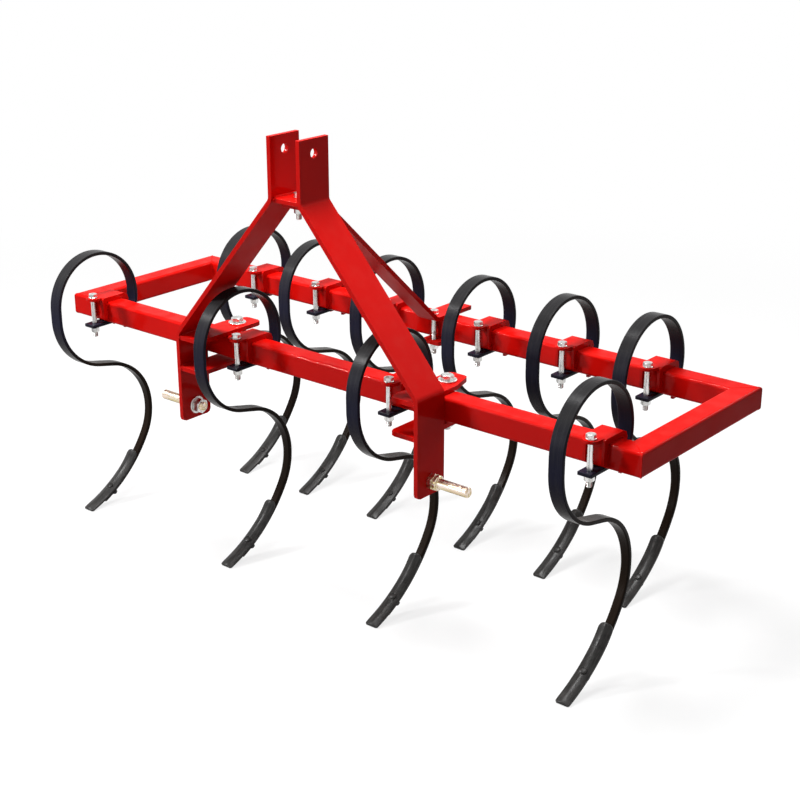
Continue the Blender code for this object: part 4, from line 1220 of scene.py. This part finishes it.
def cut_away(mesh, cutter_mesh):
    """The mesh less the cutter's volume, as a new mesh."""
    piece, cutter = (placed(data.name, data) for data in (mesh, cutter_mesh))
    cut = piece.modifiers.new("corner", "BOOLEAN")
    cut.operation = "DIFFERENCE"
    cut.object = cutter
    result = bpy.data.meshes.new_from_object(piece.evaluated_get(bpy.context.evaluated_depsgraph_get()))
    for thing in (piece, cutter):
        bpy.data.objects.remove(thing)
    return result


cutters = [corner_cutter(CHEEK_FROM, CHEEK_TO), corner_cutter(-CHEEK_TO, -CHEEK_FROM)]
clamp_nodes = [(f"tine_clamp_{row}_{number}", Vector(seat)) for row, number, seat in places()]
pattern = merged_mesh(clamp_nodes[0][0])
pattern.transform(Matrix.Translation(-clamp_nodes[0][1]))
pattern = cut_away(pattern, mesh_of("cheek_cutters", cutters))
for node, seat in clamp_nodes:
    clamp = pattern.copy()
    clamp.transform(Matrix.Translation(seat))
    softened(node, clamp, THICK_EDGE)
print("clamps:", len(clamp_nodes), " faces in one:", len(pattern.polygons))


# %% [markdown]
# ## Welds on the mast
#
# The hitch plates are welded to the feet and the crosspiece to the ears, with a fillet in each
# corner. It is the same bead as on the frame, thicker, laid along a straight line and turned
# so that it fills the corner between two faces.

# %% Fillet welds
FILLET_RADIUS, FILLET_SUNK = 0.0034, 0.0004
FILLET_INSET = 0.006  # from the foot's edges
CROSS_INSET = 0.002  # from the crosspiece's edges
PLATE_SETBACK = 0.0025  # of the hitch plates' welds behind the foot's front edge
MAST_WIDTH = 0.085


def fillet(start, end, first, second):
    """A bead from start to end in the corner between two faces, whose normals are first and
    second. Its outward direction halves the angle between them."""
    start, end, first, second = (np.asarray(v, float) for v in (start, end, first, second))
    count = max(8, int(np.linalg.norm(end - start) / PUDDLE * 4))
    path = start + (end - start) * np.linspace(0.0, 1.0, count)[:, None]
    outward = unit(first + second)
    across = np.cross(outward, unit(end - start))
    return bead(path, np.broadcast_to(outward, path.shape), across, FILLET_RADIUS, FILLET_SUNK)


def mast_fillets(sign):
    """Fillets on one side of the mast: level ones above and below the plates, and upright ones
    at their front ends."""
    inward, up, down, ahead = (-sign, 0.0, 0.0), (0.0, 0.0, 1.0), (0.0, 0.0, -1.0), (0.0, -1.0, 0.0)
    leg_low, leg_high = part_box("mast_leg_left")
    _, cross_front, cross_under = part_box("mast_crosspiece")[0]
    cross_end, cross_back, cross_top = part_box("mast_crosspiece")[1]
    front, back = leg_low[1] + FILLET_INSET, leg_low[1] + MAST_WIDTH - FILLET_INSET
    plate_end = leg_low[1] + PLATE_SETBACK
    upper, lower = TUBE_TOP + SEAT_GAP, TUBE_TOP - TUBE - HITCH_SPACE - PLATE
    foot_x = sign * (leg_high[0] - MAST_PLATE)
    ear_x = sign * (cross_end + SEAT_GAP)
    # x, start and end in (y, z), normal of the second face
    rows = []
    for plate in (upper, lower):
        top = plate + PLATE
        rows += [(foot_x, (front, top), (back, top), up),
                 (foot_x, (plate_end, plate + 0.0005), (plate_end, top - 0.0005), ahead)]
    rows += [(foot_x, (front, lower), (back, lower), down),
             (ear_x, (cross_front + CROSS_INSET, cross_top), (cross_back - CROSS_INSET, cross_top), up),
             (ear_x, (cross_front, cross_under + 0.001), (cross_front, cross_top - 0.001), ahead)]
    return [fillet((x, *first), (x, *last), inward, normal) for x, first, last, normal in rows]


fillets = mast_fillets(1.0) + mast_fillets(-1.0)
show("mast_welds", fillets, "red_paint")
print("fillets:", len(fillets))


# %% [markdown]
# ## Finish
#
# The dressed machine is built to keep the imported model's size.
